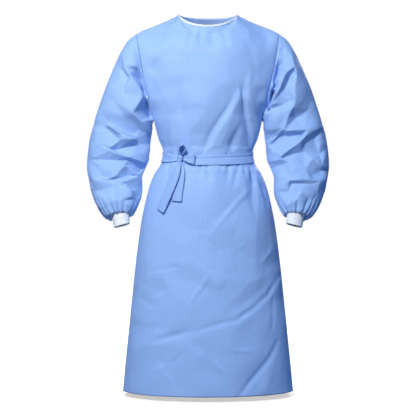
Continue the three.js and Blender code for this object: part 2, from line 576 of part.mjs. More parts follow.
// White tape sewn round the outside of the neck, from the inner back panel's free edge to the outer one's.
function addBinding(panels) {
  const halved = (columns) => columns.flatMap((across, i) => (i ? [(columns[i - 1] + across) / 2, across] : [across]));
  const neckOnly = (columns) =>
    halved(columns)
      .filter((across) => Math.abs(across) <= NECK_SHARE + 1e-6)
      .filter((across) => Math.abs(across) > NECK_SHARE / 2 || columns.includes(across));
  const edges = [
    ...neckOnly(innerColumns(1)).map((across) => neckEdge(panels.backLeft, across)),
    ...neckOnly(frontColumns)
      .slice(1, -1)
      .reverse()
      .map((across) => neckEdge(panels.front, across)),
    ...neckOnly(outerColumns(1)).map((across) => neckEdge(panels.backRight, across)),
  ];
  const grid = (height) =>
    edges.map(({ panel, top, facing }, i) => {
      const before = edges[Math.max(i - 1, 0)].top;
      const along = edges[Math.min(i + 1, edges.length - 1)].top.clone().sub(before).normalize();
      const down = facing.clone().cross(along).normalize();
      const near = top.clone().addScaledVector(down, BINDING.height);
      const low = settle(near, facing, [panel, panels.front]);
      const mid = settle(top.clone().lerp(near, 0.5), facing, [panel, panels.front]);
      const overShoulder = BINDING.shoulderGap * soft(Math.abs(top.x), 0.62 * NECK.half, 0.92 * NECK.half);
      const out = height + overShoulder;
      const high = top.clone().addScaledVector(down, -BINDING.above);
      return [low, mid, high].map((point) => point.clone().addScaledVector(facing, out));
    });
  addPiece("neck_binding", wallGeometry(grid(BINDING.gap + TAPE), grid(BINDING.gap), false), tape);
}

// A place on the belt: the panel it lies on there, and how far it stands off where it steps from one to the other.
function beltPoint(panels, round, drop, out) {
  if (round <= 1) return onPanel(panels.front, round, drop, out);
  if (round >= 3) return onPanel(panels.front, round - 4, drop, out);
  const across = 2 - round;
  const level = (UNDERARM.drop - drop) / (LENGTH - UNDERARM.drop);
  const edge = outerEdge(level);
  if (across <= edge) return onPanel(panels.backRight, across, drop, out);
  const step = (OVERLAP_LIFT + LAY_GAP) * (1 - soft(across, edge + 0.02, edge + 0.2));
  return onPanel(panels.backLeft, across, drop, out + step);
}

function addBelt(panels) {
  const line = through(BELT, "round");
  const [first, last] = [BELT[0].round, BELT[BELT.length - 1].round];
  const onFront = (from, to) => frontColumns.filter((across) => across > from && across < to);
  const edge = outerEdge((UNDERARM.drop - BELT[6].drop) / (LENGTH - UNDERARM.drop));
  const onLeft = innerColumns(-0.14).filter((across) => across > edge + 0.1);
  const onBack = [...onLeft.reverse(), edge + 0.03, edge - 0.01];
  const onRight = outerColumns(-0.14).filter((across) => across < edge - 0.05);
  const rounds = [
    first,
    ...onFront(first + 0.02, 0.99),
    ...onBack.map((across) => 2 - across),
    ...onRight.reverse().map((across) => 2 - across),
    ...onFront(-0.99, last - 4 - 0.02).map((across) => across + 4),
    last,
  ];
  const grid = (out) =>
    rounds.map((round) => {
      const { drop, wide } = line(round);
      return spread(2, -0.5, 0.5).map((share) => beltPoint(panels, round, drop + share * wide, out));
    });
  addPiece("waist_belt", wallGeometry(grid(LAY_GAP + STRAP), grid(LAY_GAP), false), strapCloth);
}

// A place in front of the body, and the level way along the body there.
function beforeBody(x, drop, out) {
  const level = (UNDERARM.drop - drop) / (LENGTH - UNDERARM.drop);
  const across = Math.asin(x / bodySection(drop).half) / QUARTER;
  const facing = bodyFacing(across, level, true);
  return { point: bodyPoint(across, level, true).add(vector(0, -out, 0)), level: vector(-facing.y, facing.x, 0).normalize() };
}

// The knot is a small bundle with two wraps across it.
function addKnot() {
  const turns = spread(16, 0, 1).slice(0, -1);
  const middle = beforeBody(KNOT.x, KNOT.drop, KNOT.out).point;
  const rings = spread(8, 0.07, 0.93).map((rise) =>
    turns.map((turn) => {
      const wrap = 1 + 0.07 * Math.cos(rise * 4 * Math.PI + turn * 2 * Math.PI);
      const girth = Math.sin(rise * Math.PI) ** 0.7 * wrap;
      const around = turn * 2 * Math.PI;
      const x = KNOT.halfX * girth * Math.cos(around);
      const y = KNOT.halfY * girth * Math.sin(around);
      return middle.clone().add(vector(x, y, -KNOT.halfDrop * Math.cos(rise * Math.PI)));
    }),
  );
  const ends = [rings[0], rings[rings.length - 1]].map((ring) =>
    ring.reduce((sum, point) => sum.add(point), vector(0, 0, 0)).divideScalar(ring.length),
  );
  addPiece("belt_knot", pebbleGeometry(rings, ends), strapCloth);
}

// A closed solid of rings, with a point over each end ring.
function pebbleGeometry(rings, ends) {
  const count = rings[0].length;
  const points = [...rings.flat(), ...ends];
  const index = [];
  const at = (row, column) => row * count + (column % count);
  const last = rings.length - 1;
  for (let column = 0; column < count; column += 1) {
    for (let row = 0; row < last; row += 1) {
      index.push(at(row, column), at(row, column + 1), at(row + 1, column + 1));
      index.push(at(row, column), at(row + 1, column + 1), at(row + 1, column));
    }
    index.push(points.length - 2, at(0, column + 1), at(0, column));
    index.push(points.length - 1, at(last, column), at(last, column + 1));
  }
  return closedGeometry(points, index);
}

// A band along a middle line, with its width across the line.
function addBand(name, rows, steps) {
  const numbered = rows.map((row, place) => ({ ...row, place }));
  const line = through(numbered, "place");
  const last = rows.length - 1;
  const middle = (place) => {
    const row = line(THREE.MathUtils.clamp(place, 0, last));
    return beforeBody(row.x, row.drop, row.out);
  };
  const grid = (out) =>
    spread(steps, 0, last).map((place) => {
      const row = line(place);
      const lean = THREE.MathUtils.degToRad(row.lean);
      const { point, level } = middle(place);
      const along = middle(place + 0.05).point.sub(middle(place - 0.05).point).normalize();
      const across = level.multiplyScalar(Math.cos(lean)).add(vector(0, 0, -Math.sin(lean)));
      across.addScaledVector(along, -across.dot(along)).normalize();
      const facing = along.clone().cross(across).normalize();
      return spread(4, -0.5, 0.5).map((share) => {
        const bow = row.cup * (1 - (2 * share) ** 2);
        return point.clone().addScaledVector(across, share * row.wide).addScaledVector(facing, bow + out);
      });
    });
  addPiece(name, wallGeometry(grid(0.7), grid(-0.7), false), strapCloth);
}

// The tab lies on the outer back panel and reaches over its free edge onto the inner one.
function addTab(panels) {
  const edge = outerEdge(0.9);
  const within = (columns, from, to) => columns.filter((across) => across > from && across < to);
  const stations = [
    ...within(outerColumns(0.9), TAB.from, edge - 0.02),
    edge - 0.005,
    edge + 0.03,
    ...within(innerColumns(0.9), edge + 0.06, TAB.to),
  ];
  const grid = (out) =>
    stations.map((across) =>
      spread(2, TAB.top, TAB.bottom).map((drop) => {
        if (across < edge) return onPanel(panels.backRight, across, drop, out);
        const step = (OVERLAP_LIFT + LAY_GAP) * (1 - soft(across, edge + 0.02, TAB.to));
        return onPanel(panels.backLeft, across, drop, out + step);
      }),
    );
  addPiece("neck_tab", wallGeometry(grid(TAB.gap + STRAP), grid(TAB.gap), false), strapCloth);
}

const sleeves = [
  { side: "right", hand: -1, folds: RIGHT_SLEEVE_FOLDS, backFolds: LEFT_SLEEVE_FOLDS },
  { side: "left", hand: 1, folds: LEFT_SLEEVE_FOLDS, backFolds: RIGHT_SLEEVE_FOLDS },
];
const panels = {
  front: bodyPanel("front", () => frontColumns, true, () => 0),
  backLeft: bodyPanel("back_left", innerColumns, false, () => 0),
  backRight: bodyPanel("back_right", outerColumns, false, overlapLift),
};
for (const { side, hand, folds, backFolds } of sleeves) {
  addSleeve(`sleeve_${side}`, hand, folds, backFolds);
  addCuff(`cuff_${side}`, hand);
}
addBinding(panels);
addBelt(panels);
addKnot();
addBand("bow_loop_up", LOOP_UP, 14);
addBand("bow_loop_side", LOOP_SIDE, 16);
addBand("tie_end_long", END_LONG, 10);
addBand("tie_end_short", END_SHORT, 8);
addTab(panels);

export default gown;
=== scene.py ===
import math

import bpy
import numpy as np
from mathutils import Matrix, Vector
from mathutils.geometry import delaunay_2d_cdt


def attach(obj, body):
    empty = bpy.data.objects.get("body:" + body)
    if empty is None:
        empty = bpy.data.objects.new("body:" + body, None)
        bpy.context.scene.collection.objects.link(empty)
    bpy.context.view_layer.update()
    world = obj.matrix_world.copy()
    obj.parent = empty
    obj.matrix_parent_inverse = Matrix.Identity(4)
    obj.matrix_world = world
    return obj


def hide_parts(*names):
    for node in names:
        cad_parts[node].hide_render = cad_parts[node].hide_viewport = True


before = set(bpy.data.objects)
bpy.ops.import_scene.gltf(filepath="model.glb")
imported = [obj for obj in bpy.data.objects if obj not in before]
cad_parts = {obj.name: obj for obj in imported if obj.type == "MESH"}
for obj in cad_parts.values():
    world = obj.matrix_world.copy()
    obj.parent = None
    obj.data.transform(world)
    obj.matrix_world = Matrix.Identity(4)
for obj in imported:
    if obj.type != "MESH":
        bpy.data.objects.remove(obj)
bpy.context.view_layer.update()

# Surgical gown of thin nonwoven cloth, filled out to its worn shape with nobody in it. Sizes are in
# millimetres. The front faces -Y. A drop is a distance below the origin, and a half is a distance from the
# middle plane X = 0.

LENGTH = 1200
CLOTH = 0.7
SHOULDER = {"half": 227.7, "drop": 61.4}
UNDERARM = {"half": 173, "drop": 339}
ARMHOLE = {"front": 52, "back": 55}
NECK = {"half": 91.7, "front": 70, "back": 62, "front_drop": 44, "back_drop": 4, "fade": 80}
SEAM_GAP = 0.4
# The right back panel laps over the left one and stands this far off it.
OVERLAP_LIFT = 3.8
# The share of a panel's width that its neckline takes, and how its yoke rounds in to the shoulders.
NECK_SHARE = 0.42
SHOULDER_ROUND = 105
SHOULDER_ARC = 0.72
QUARTER = math.pi / 2


def table(names, *lines):
    """Rows of a table, by the names of its columns."""
    return [dict(zip(names.split(), line)) for line in lines]


# The body's sections from the hem up to the underarm.
BODY_SECTIONS = table(
    "drop half front back",
    (1200, 272, 150, 150),
    (1104, 263, 148, 148),
    (950, 247, 144, 143),
    (797, 231, 139, 138),
    (675, 215, 134, 132),
    (598, 200, 129, 127),
    (541, 184.5, 122, 119),
    (502, 167, 112, 107),
    (480, 152, 103, 95),
    (455, 143, 98, 88),
    (428, 145.5, 100, 90),
    (400, 157, 107, 96),
    (368, 166, 113, 101),
    (339, 173, 117, 104),
    (310, 179, 117.6, 104.5),
)
YOKE_SECTIONS = table(
    "rise front back",
    (-0.1, 110.6, 99),
    (0, 117, 104),
    (0.3, 120, 107),
    (0.6, 116, 108),
    (1, 98, 98),
)
ARMHOLE_LINE = table(
    "drop half",
    (61.4, 227.7),
    (122, 218),
    (184, 206.5),
    (225, 197.5),
    (277, 186.5),
    (322, 175.5),
    (339, 173),
)
SHOULDER_LINE = table(
    "half drop",
    (91.7, 0),
    (112, 10.5),
    (135, 21.5),
    (174, 37.5),
    (209, 51),
    (227.7, 61.4),
)
SLEEVE_SECTIONS = table(
    "at out_half out_drop in_half in_drop front back y lift",
    (0, 227.7, 61.4, 173, 339, 52, 55, 0, 0),
    (0.06, 257, 88, 176, 344, 66, 62, 0, 0),
    (0.15, 290, 145, 178, 354, 74, 66, 2, 0),
    (0.24, 317, 207, 178.5, 371, 76, 66, 5, 0),
    (0.33, 341, 272, 181, 392, 74, 66, 8, 0),
    (0.41, 360, 330, 185, 415, 72, 66, 8, 0),
    (0.49, 376, 388, 186.5, 440, 70, 66, 6, 0),
    (0.57, 385, 442, 189, 464, 70, 66, 2, 2),
    (0.64, 386, 484, 199, 488, 68, 66, -6, 5),
    (0.71, 380, 522, 209, 516, 66, 64, -16, 9),
    (0.78, 371, 560, 208, 548, 66, 62, -28, 13),
    (0.85, 359, 593, 211, 582, 64, 60, -40, 16),
    (0.9, 345, 620, 221, 611, 58, 55, -52, 17),
    (0.945, 328, 643, 233, 633, 47, 45, -62, 16),
    (0.97, 315.5, 649, 241, 638.5, 38, 36, -67, 14),
    (1, 305.5, 635.5, 245.5, 627.5, 29, 28, -67, 12),
)
CUFF_SECTIONS = table(
    "at out_half out_drop in_half in_drop front back y lift",
    (0, 306.5, 638, 245.5, 630, 30, 29, -68, 12),
    (0.07, 302.5, 641.5, 248, 633.5, 26.5, 25.5, -69, 11.5),
    (0.16, 300.5, 645.5, 248.5, 637, 24.5, 23.5, -71, 11),
    (0.5, 298, 657, 248, 647, 22.5, 21.5, -77, 7.5),
    (1, 292.5, 678.5, 245.5, 666, 20, 19, -87, 2.5),
)

# Folds seen from the front. Each runs from its first point to its last. Left and right are the widths of its
# flanks on either hand of that run, and out is its height where it peaks.
FOLD = "x drop to_x to_drop left right out peak"
FRONT_FOLDS = table(
    FOLD,
    (-14, 446, 90, 262, 26, 34, -8, 0.25),
    (114, 222, 142, 430, 24, 34, -8, 0.6),
    (70, 440, 108, 336, 20, 24, -6, 0.2),
    (-100, 236, -60, 410, 26, 26, -5, 0.5),
    (-124, 300, -138, 432, 22, 22, -6, 0.7),
    (-192, 192, -146, 152, 26, 32, -6, 0.2),
    (176, 236, 144, 300, 26, 30, -6, 0.3),
    (134, 490, 150, 670, 20, 26, -9, 0.25),
    (148, 545, 147, 905, 46, 62, 7, 0.45),
    (-184, 640, -190, 900, 60, 50, 4, 0.5),
    (228, 826, 20, 976, 36, 40, -5, 0.35),
    (214, 1056, 90, 1200, 40, 46, -5, 0.6),
    (-10, 960, -140, 1040, 40, 40, -4, 0.5),
)
BACK_FOLDS = table(
    FOLD,
    (-96, 434, -150, 262, 30, 34, -8, 0.3),
    (-30, 436, -44, 250, 26, 30, -6, 0.25),
    (100, 434, 150, 250, 30, 34, -8, 0.3),
    (-110, 492, -140, 760, 34, 30, -9, 0.2),
    (112, 492, 140, 780, 30, 36, -9, 0.2),
    (-36, 492, -60, 700, 28, 28, -6, 0.2),
    (190, 860, 60, 1010, 40, 44, -5, 0.5),
    (-206, 980, -90, 1150, 44, 44, -5, 0.5),
)
# Crease lines with flat cloth between them. Each place is an x, a drop and how far it stands out.
CHEST_CREASES = [
    [(-20, 452, -4), (7, 386, -9), (47, 326, -8), (94, 242, -2)],
    [(-2, 452, 3), (28, 390, 3), (66, 330, 3), (104, 262, 1)],
    [(114, 226, -2), (109, 262, -6), (121, 326, -7), (134, 403, -5)],
    [(128, 232, 2), (128, 290, 3), (138, 350, 3), (147, 410, 2)],
    [(71, 452, -3), (88, 400, -5), (101, 359, -2)],
    [(-90, 239, -2), (-90, 307, -4), (-68, 388, -2)],
    [(-143, 385, -3), (-130, 440, -5)],
    [(-192, 174, -4), (-170, 164, -6), (-146, 149, -2)],
    [(-186, 264, -3), (-165, 252, -5), (-143, 236, -2)],
    [(136, 187, -2), (155, 190, -4), (174, 187, -3)],
    [(-131, 47, -2), (-161, 90, -4), (-192, 140, -2)],
    [(81, 47, -2), (127, 103, -3)],
]
# Thin pressed creases. Each is its width and its places, which read as above.
THIN_CREASES = [
    (9, [
        (134, 551, 0.5), (116, 574, 1.6), (90, 602, 2.2), (68, 626, 2), (49, 650, 1.8), (27, 678, 1.2),
        (11, 700, 0.3),
    ]),
    (8, [(131, 561, 0.3), (106, 586, 1.2)]),
    (8, [(87, 614, 0.4), (65, 630, 1.2)]),
    (11, [
        (226, 832, -1.5), (204, 862, -3), (189, 889, -4), (163, 911, -3.4), (140, 930, -4), (110, 949, -3),
    ]),
    (11, [(110, 949, -3), (87, 964, -2.8), (50, 971, -2.8), (5, 983, -2.4), (-48, 1001, -1.2)]),
    (13, [(-67, 1001, -1.8), (-112, 1013, -3.4), (-146, 1024, -3), (-176, 1032, -0.5)]),
    (12, [
        (219, 1032, -1.2), (208, 1058, -3), (192, 1088, -3.4), (163, 1122, -3), (125, 1163, -3.4),
        (95, 1200, -2.4),
    ]),
    (9, [(50, 1050, 0.6), (91, 1058, 1.8), (121, 1060, 1.8), (148, 1058, 0.4)]),
    (24, [(178, 1185, 2.6), (200, 1122, 1.6)]),
    (8, [(-63, 915, 0.6), (-25, 870, 1.6), (9, 821, 1)]),
    (8, [(-48, 900, 0.5), (-10, 844, 1.4)]),
    (9, [(35, 859, 0.4), (61, 832, 1.5), (87, 855, 0.5)]),
    (9, [(-179, 814, -0.6), (-93, 800, -1.6)]),
    (9, [(201, 751, 0.8), (185, 766, 2.2), (170, 788, 1.2)]),
    (11, [(-78, 1065, -1.2), (-108, 1095, -2.6)]),
    (9, [(-217, 900, -0.6), (-195, 911, -1.6), (-172, 923, -1.4), (-157, 907, -0.6)]),
    (12, [(-25, 1065, 0.6), (50, 1122, 1.6), (72, 1155, 0.6)]),
    (12, [(-164, 1125, 1), (-138, 1110, 2)]),
    (10, [(204, 903, -1.4), (201, 990, -1.6)]),
    (9, [(-20, 716, -0.5), (49, 747, -1.4)]),
    (9, [(74, 751, 0.6), (112, 732, 1.3)]),
    (8, [(-65, 684, -0.7), (24, 684, -0.6)]),
    (10, [(131, 487, -4), (143, 515, -6), (147, 539, -4)]),
    (10, [(146, 510, -3), (166, 545, -5), (179, 570, -3)]),
    (10, [(173, 551, -3), (182, 580, -5), (188, 605, -2)]),
    (18, [(155, 520, 2), (167, 577, 4), (177, 639, 1)]),
    (9, [(-123, 486, -5), (-128, 526, -1)]),
    (8, [(-24, 487, -4), (-22, 514, -0.8)]),
    (9, [(-1, 487, -5), (5, 526, -1.6)]),
    (9, [(65, 487, -4.6), (60, 532, -1)]),
    (11, [(97, 487, -5), (80, 548, -1.2)]),
    (8, [(40, 487, -3.4), (38, 508, -0.6)]),
    (8, [(-60, 487, -3.6), (-58, 513, -0.6)]),
    (9, [(115, 487, -4.4), (118, 524, -0.8)]),
    (26, [(24, 492, 2.2), (30, 600, 0.4)]),
    (22, [(-52, 500, 1.6), (-60, 610, 0.4)]),
    (8, [(136, 450, -2.6), (130, 424, -0.4)]),
    (8, [(108, 450, -2.6), (112, 430, -0.4)]),
    (8, [(60, 450, -2.4), (64, 431, -0.4)]),
    (8, [(24, 450, -2), (26, 435, -0.3)]),
    (8, [(-40, 450, -2), (-42, 431, -0.3)]),
    (9, [(-115, 448, -3), (-118, 424, -0.4)]),
    (10, [(-130, 446, -3.4), (-136, 402, -1)]),
    (14, [(-50, 62, -3), (-64, 120, -0.6)]),
    (12, [(-22, 66, -3.2), (-27, 112, -0.6)]),
    (12, [(10, 68, -2.8), (16, 124, -0.6)]),
    (14, [(48, 62, -3), (66, 130, -0.6)]),
]
BACK_THIN_CREASES = [
    (11, [(-212, 802, -1.4), (-186, 851, -3.2), (-150, 898, -3.6), (-102, 930, -3), (-60, 951, -0.8)]),
    (12, [(190, 1010, -1.2), (158, 1066, -3.2), (112, 1130, -3), (92, 1182, -1.6)]),
    (10, [(-140, 560, 0.6), (-112, 602, 2), (-71, 655, 1.8), (-44, 702, 0.4)]),
    (9, [(60, 700, 0.5), (104, 742, 1.6), (121, 801, 0.5)]),
    (10, [(-142, 500, -4), (-150, 548, -2)]),
    (10, [(137, 497, -4), (151, 560, -2)]),
    (9, [(-96, 490, -3), (-88, 530, -0.4)]),
    (9, [(-40, 490, -2.6), (-44, 517, -0.4)]),
    (9, [(12, 490, -2.2), (16, 531, -0.4)]),
    (9, [(71, 490, -3), (64, 541, -0.4)]),
    (8, [(-61, 446, -2.6), (-64, 420, -0.4)]),
    (8, [(34, 446, -2.6), (30, 424, -0.4)]),
    (8, [(88, 446, -2.6), (95, 412, -0.4)]),
    (12, [(-120, 1120, 1), (-92, 1101, 2)]),
]
# Crease lines of the sleeves. Each place is a half, a drop and how far it stands forward.
RIGHT_SLEEVE_CREASES = [
    [(246, 194, 4), (213, 241, 5), (194, 270, 1)],
    [(228, 180, -8), (212, 214, -26), (200, 250, -28)],
    [(204, 268, 6), (233, 318, 8), (209, 345, 6)],
    [(193, 282, -18), (190, 325, -20)],
    [(274, 176, -3), (251, 205, -5)],
    [(264, 174, 2), (243, 207, 3)],
    [(222, 152, 3), (223, 173, 2)],
    [(268, 261, 1.5), (225, 262, 1.5)],
    [(338, 314, 1), (288, 286, 1.5)],
    [(319, 351, -4), (240, 383, -9), (224, 395, -5)],
    [(318, 356, 3), (273, 380, 4), (230, 401.5, 5)],
    [(349, 356, -3), (323, 365, -6), (278, 400, -6)],
    [(309, 429, 3), (277, 401, 5), (230, 401.5, 5)],
    [(309, 431, -3), (291, 436, -9), (218, 415, -8)],
    [(309, 436, 3), (246, 461, 4), (202, 477, 3)],
    [(380, 465, -4), (302, 466, -8), (250, 467, -4)],
    [(257, 485, -4), (213, 493, -14)],
    [(253, 488, 2), (226, 513, 5)],
    [(296, 520, 2), (264, 487, 4)],
    [(296, 526, -4), (249, 518, -8), (230, 519, -2)],
    [(226, 521, 4), (259, 534, 1)],
    [(259, 541, -4), (237, 557, -9), (209, 569, -8)],
    [(362, 564, -2), (325, 562, -7), (295, 555, -7), (266, 548, -3)],
    [(240, 560, 4), (237, 582, 4)],
    [(226, 562, -6), (228, 590, -6)],
]
LEFT_SLEEVE_CREASES = [
    [(217, 190, -22), (209, 228, -26)],
    [(208, 248, -30), (193, 300, -26)],
    [(243, 191, 3), (222, 211, 4), (203.5, 234, 4)],
    [(220, 247, 4), (214, 256, 4), (197, 290, 3), (184, 316, 1)],
    [(248, 104, -2), (236, 117, -4), (224, 129, -4), (216, 141, -2)],
    [(246, 150, -3), (246, 187, 1)],
    [
        (265, 128, 2), (275, 174, 5), (280, 208, 4), (275, 239, 5), (270, 276, 5), (266, 302, 4),
        (248, 344, 3), (237, 371, 5),
    ],
    [(272, 179, -3), (256, 208, -8), (244, 235, -7), (222, 264, -3)],
    [(275, 174, 5), (246, 190, 4), (225, 240, 3)],
    [(265, 279, -3), (240, 289, -6), (198, 303, -5)],
    [(328, 278, -3), (314, 309, -6), (275, 337, -8)],
    [(237, 371, 5), (192, 418, 3)],
    [(237, 371, 5), (258, 325, 3)],
    [(180, 372, 2), (228, 366, 4)],
    [(222, 388, -8), (186, 403, -8)],
    [(243, 377, 4), (298, 374, 3)],
    [(296, 386, -8), (260, 391, -9), (205, 416, -5)],
    [(315, 375, 4), (298, 403, 5), (232, 455, 4)],
    [(350, 366, 3), (316, 388, 3)],
    [(355, 377, -4), (336, 394, -7), (302, 409, -4)],
    [(237, 456, -3), (298, 441, -9), (348, 445, -7), (369, 434, -3)],
    [(194, 498, -7), (234, 479, -5)],
    [(233, 462, 3), (253, 470, 2)],
    [(331, 460, 1.5), (361, 483, 3), (378, 486, 2)],
    [(380, 493, -4), (355, 498, -7), (327, 515, -4)],
    [(260, 531, 4), (325, 528, 3)],
    [(262, 541, -6), (320, 541, -5)],
    [(256, 534, 3), (225, 552, 2)],
    [(222, 565, -3), (250, 565, -8), (276, 571, -8), (291, 567, -3)],
    [(298, 571, -3), (315, 599, -6), (317, 620, -3)],
    [(287, 574, 3), (270, 597, 3)],
]
# How many times deeper the cloth's own creases come out than their places say.
THIN_DEPTH = 1.35
SLEEVE_DEPTH = 2.1
# The gathers at the end of a sleeve, which grow from their start to the cuff's seam.
GATHERS = {"count": 15, "out": 4.2, "start": 0.83, "seam": 0.9}
# A sleeve's cloth laid flat: how far round it is, and how long.
SLEEVE_FLAT = {"round": 460, "long": 620}

# The belt's middle line and width by its place round the body: 0 is the front's middle, 1 the side at the
# wearer's left, 2 the back's middle and 3 the other side. It starts and ends at the knot.
BELT = table(
    "round drop wide",
    (-0.35, 465, 17),
    (-0.3, 467, 25),
    (-0.22, 468.5, 31),
    (0, 468.5, 32),
    (0.5, 464, 32),
    (1, 455.5, 32),
    (2, 459, 32),
    (3, 455.5, 32),
    (3.3, 458, 30),
    (3.45, 460.5, 24),
    (3.545, 463, 17),
)
# Creases of the band run together where the round place reaches the knot. Each is its place across the band
# and its depth, and it grows over the reach.
KNOT_CREASES = {"round": 3.56, "reach": 0.42}
KNOT_CREASE_ROWS = table("side deep", (-0.34, 1.8), (-0.1, -2.2), (0.08, 1.6), (0.3, -1.8))
# The drops of the belt's edges on the front, of its middle, and of the stretch where nothing may stand out.
BELTED = {"top": 452, "bottom": 486, "middle": 462, "flat_from": 430, "flat_to": 495}
KNOT = {"x": -86, "out": 10.5, "drop": 463, "half_x": 7.6, "half_y": 7.5, "half_drop": 11}

# The loops and ends of the bow, by the places of each one's middle line. Out is the distance in front of the
# body, lean and turn are the degrees that its width leans over and turns out, and cup is its hollow.
BAND = "x out drop wide lean cup turn"
LOOP_UP = table(
    BAND,
    (-86.5, 13, 450.8, 10, 0, 0.5, 10),
    (-90, 17, 446, 16, 4, 1, 24),
    (-93, 21, 438, 25, 8, 1.6, 40),
    (-91.5, 23, 427, 32, 14, 1.6, 48),
    (-86.5, 20.5, 419, 33, 20, 1, 50),
    (-80, 15.5, 417.5, 33, 20, 1, 50),
    (-75, 11, 422.5, 32, 18, 1, 50),
    (-74.5, 8.5, 431, 28, 14, 1, 44),
    (-79.5, 7.5, 441, 20, 8, 1, 26),
    (-85.3, 8.8, 450.9, 10, 0, 0, 10),
)
LOOP_SIDE = table(
    BAND,
    (-76.6, 13.5, 463.5, 10, 90, 1, 0),
    (-68, 15.5, 464.5, 17, 90, 2, 0),
    (-57, 16, 465.5, 24, 92, 2.5, 0),
    (-47, 15.5, 466, 28, 94, 2, 0),
    (-42.5, 13, 466, 29, 95, 1, 0),
    (-41.5, 10, 466, 29, 95, 0, 0),
    (-45, 8, 466, 28, 94, 0, 0),
    (-56, 7.5, 465.5, 23, 92, 0, 0),
    (-68, 7.5, 464.5, 16, 90, 0, 0),
    (-76.2, 8.5, 463.5, 10, 90, 0, 0),
)
END_LONG = table(
    BAND,
    (-87.2, 12, 473.9, 11, -5, 0.5, 0),
    (-92.5, 16, 485, 20, -12, 5, 0),
    (-100, 17, 508, 31, -17, 5, 0),
    (-112, 15.5, 541, 32, -21, 1.5, 0),
    (-126, 13, 574, 32, -23, 1.5, 0),
    (-139, 11, 603, 32, -24, 2, 0),
    (-149.5, 10, 626.5, 32, -38, 1.5, 0),
)
END_SHORT = table(
    BAND,
    (-85, 8.6, 474.5, 10, 0, 0, 0),
    (-85.5, 7, 488, 20, -1, 2, 0),
    (-87, 7, 512, 31, -3, 1.5, 0),
    (-91, 6.5, 545, 32, -6, 1, 0),
    (-94.5, 6, 572, 32, -7, 1, 0),
    (-97, 6, 597, 32, -7, 0, 0),
)


def mix(low, high, share):
    return low + (high - low) * share


def soft(value, low, high):
    """A smooth rise from 0 to 1 between two values."""
    t = np.clip((value - low) / (high - low), 0, 1)
    return t * t * (3 - 2 * t)


def through(rows, by):
    """A smooth curve through the rows of a table, for each of its columns."""
    order = sorted(rows, key=lambda row: row[by])
    at = np.array([row[by] for row in order], float)
    columns = {name: np.array([row[name] for row in order], float) for name in order[0] if name != by}

    def curve(place):
        place = np.clip(place, at[0], at[-1])
        i = np.clip(np.searchsorted(at, place, side="right") - 1, 0, len(at) - 2)
        before, after = np.maximum(i - 1, 0), np.minimum(i + 2, len(at) - 1)
        step = at[i + 1] - at[i]
        t = (place - at[i]) / step
        found = {}
        for name, value in columns.items():
            slope_low = (value[i + 1] - value[before]) / (at[i + 1] - at[before]) * step
            slope_high = (value[after] - value[i]) / (at[after] - at[i]) * step
            found[name] = (
                value[i] * (2 * t**3 - 3 * t**2 + 1)
                + slope_low * (t**3 - 2 * t**2 + t)
                + value[i + 1] * (3 * t**2 - 2 * t**3)
                + slope_high * (t**3 - t**2)
            )
        return found

    return curve


body_section = through(BODY_SECTIONS, "drop")
yoke_section = through(YOKE_SECTIONS, "rise")
armhole_line = through(ARMHOLE_LINE, "drop")
shoulder_line = through(SHOULDER_LINE, "half")
sleeve_section = through(SLEEVE_SECTIONS, "at")
cuff_section = through(CUFF_SECTIONS, "at")


def lattice(i, j, seed):
    """A fixed number from 0 to 1 for each crossing of a lattice."""
    return np.modf(np.abs(np.sin(i * 127.1 + j * 311.7 + seed * 74.7) * 43758.5453))[0]


def noise(u, v, size, seed):
    """Smooth noise from -1 to 1, with lumps of a size in millimetres."""
    i, j = np.floor(u / size), np.floor(v / size)
    s, t = soft(u / size - i, 0, 1), soft(v / size - j, 0, 1)
    low = mix(lattice(i, j, seed), lattice(i + 1, j, seed), s)
    high = mix(lattice(i, j + 1, seed), lattice(i + 1, j + 1, seed), s)
    return 2 * mix(low, high, t) - 1


def facets(u, v, size, seed):
    """Crumpled cloth from 0 to about 1: shallow hollows of a size that meet in crisp ridges."""
    best = np.full(np.shape(u), 9.0)
    cell_i, cell_j = np.floor(u / size), np.floor(v / size)
    for step_i in (-1, 0, 1):
        for step_j in (-1, 0, 1):
            i, j = cell_i + step_i, cell_j + step_j
            du = u / size - i - lattice(i, j, seed)
            dv = v / size - j - lattice(i, j, seed + 1)
            tilt_u = lattice(i, j, seed + 2) - 0.5
            tilt_v = lattice(i, j, seed + 3) - 0.5
            high = du**2 + dv**2 + 0.7 * (tilt_u * du + tilt_v * dv) + 0.35 * lattice(i, j, seed + 4)
            best = np.minimum(best, high)
    return best


def folds_at(folds, x, drop):
    """The summed height of a table's folds. A crease is sharp along its line, and each flank falls away."""
    out = np.zeros(np.shape(x))
    for fold in folds:
        run_x, run_drop = fold["to_x"] - fold["x"], fold["to_drop"] - fold["drop"]
        length = math.hypot(run_x, run_drop)
        along = ((x - fold["x"]) * run_x + (drop - fold["drop"]) * run_drop) / length**2
        beside = ((x - fold["x"]) * run_drop - (drop - fold["drop"]) * run_x) / length
        peak = min(max(fold["peak"], 0.02), 0.98)
        swell = np.where(along < peak, along / peak, (1 - along) / (1 - peak)).clip(0, 1)
        width = np.where(beside > 0, fold["left"], fold["right"]) * (0.4 + 0.6 * swell)
        near = (1 - np.abs(beside) / width).clip(0, 1)
        out += fold["out"] * swell * near
    return out


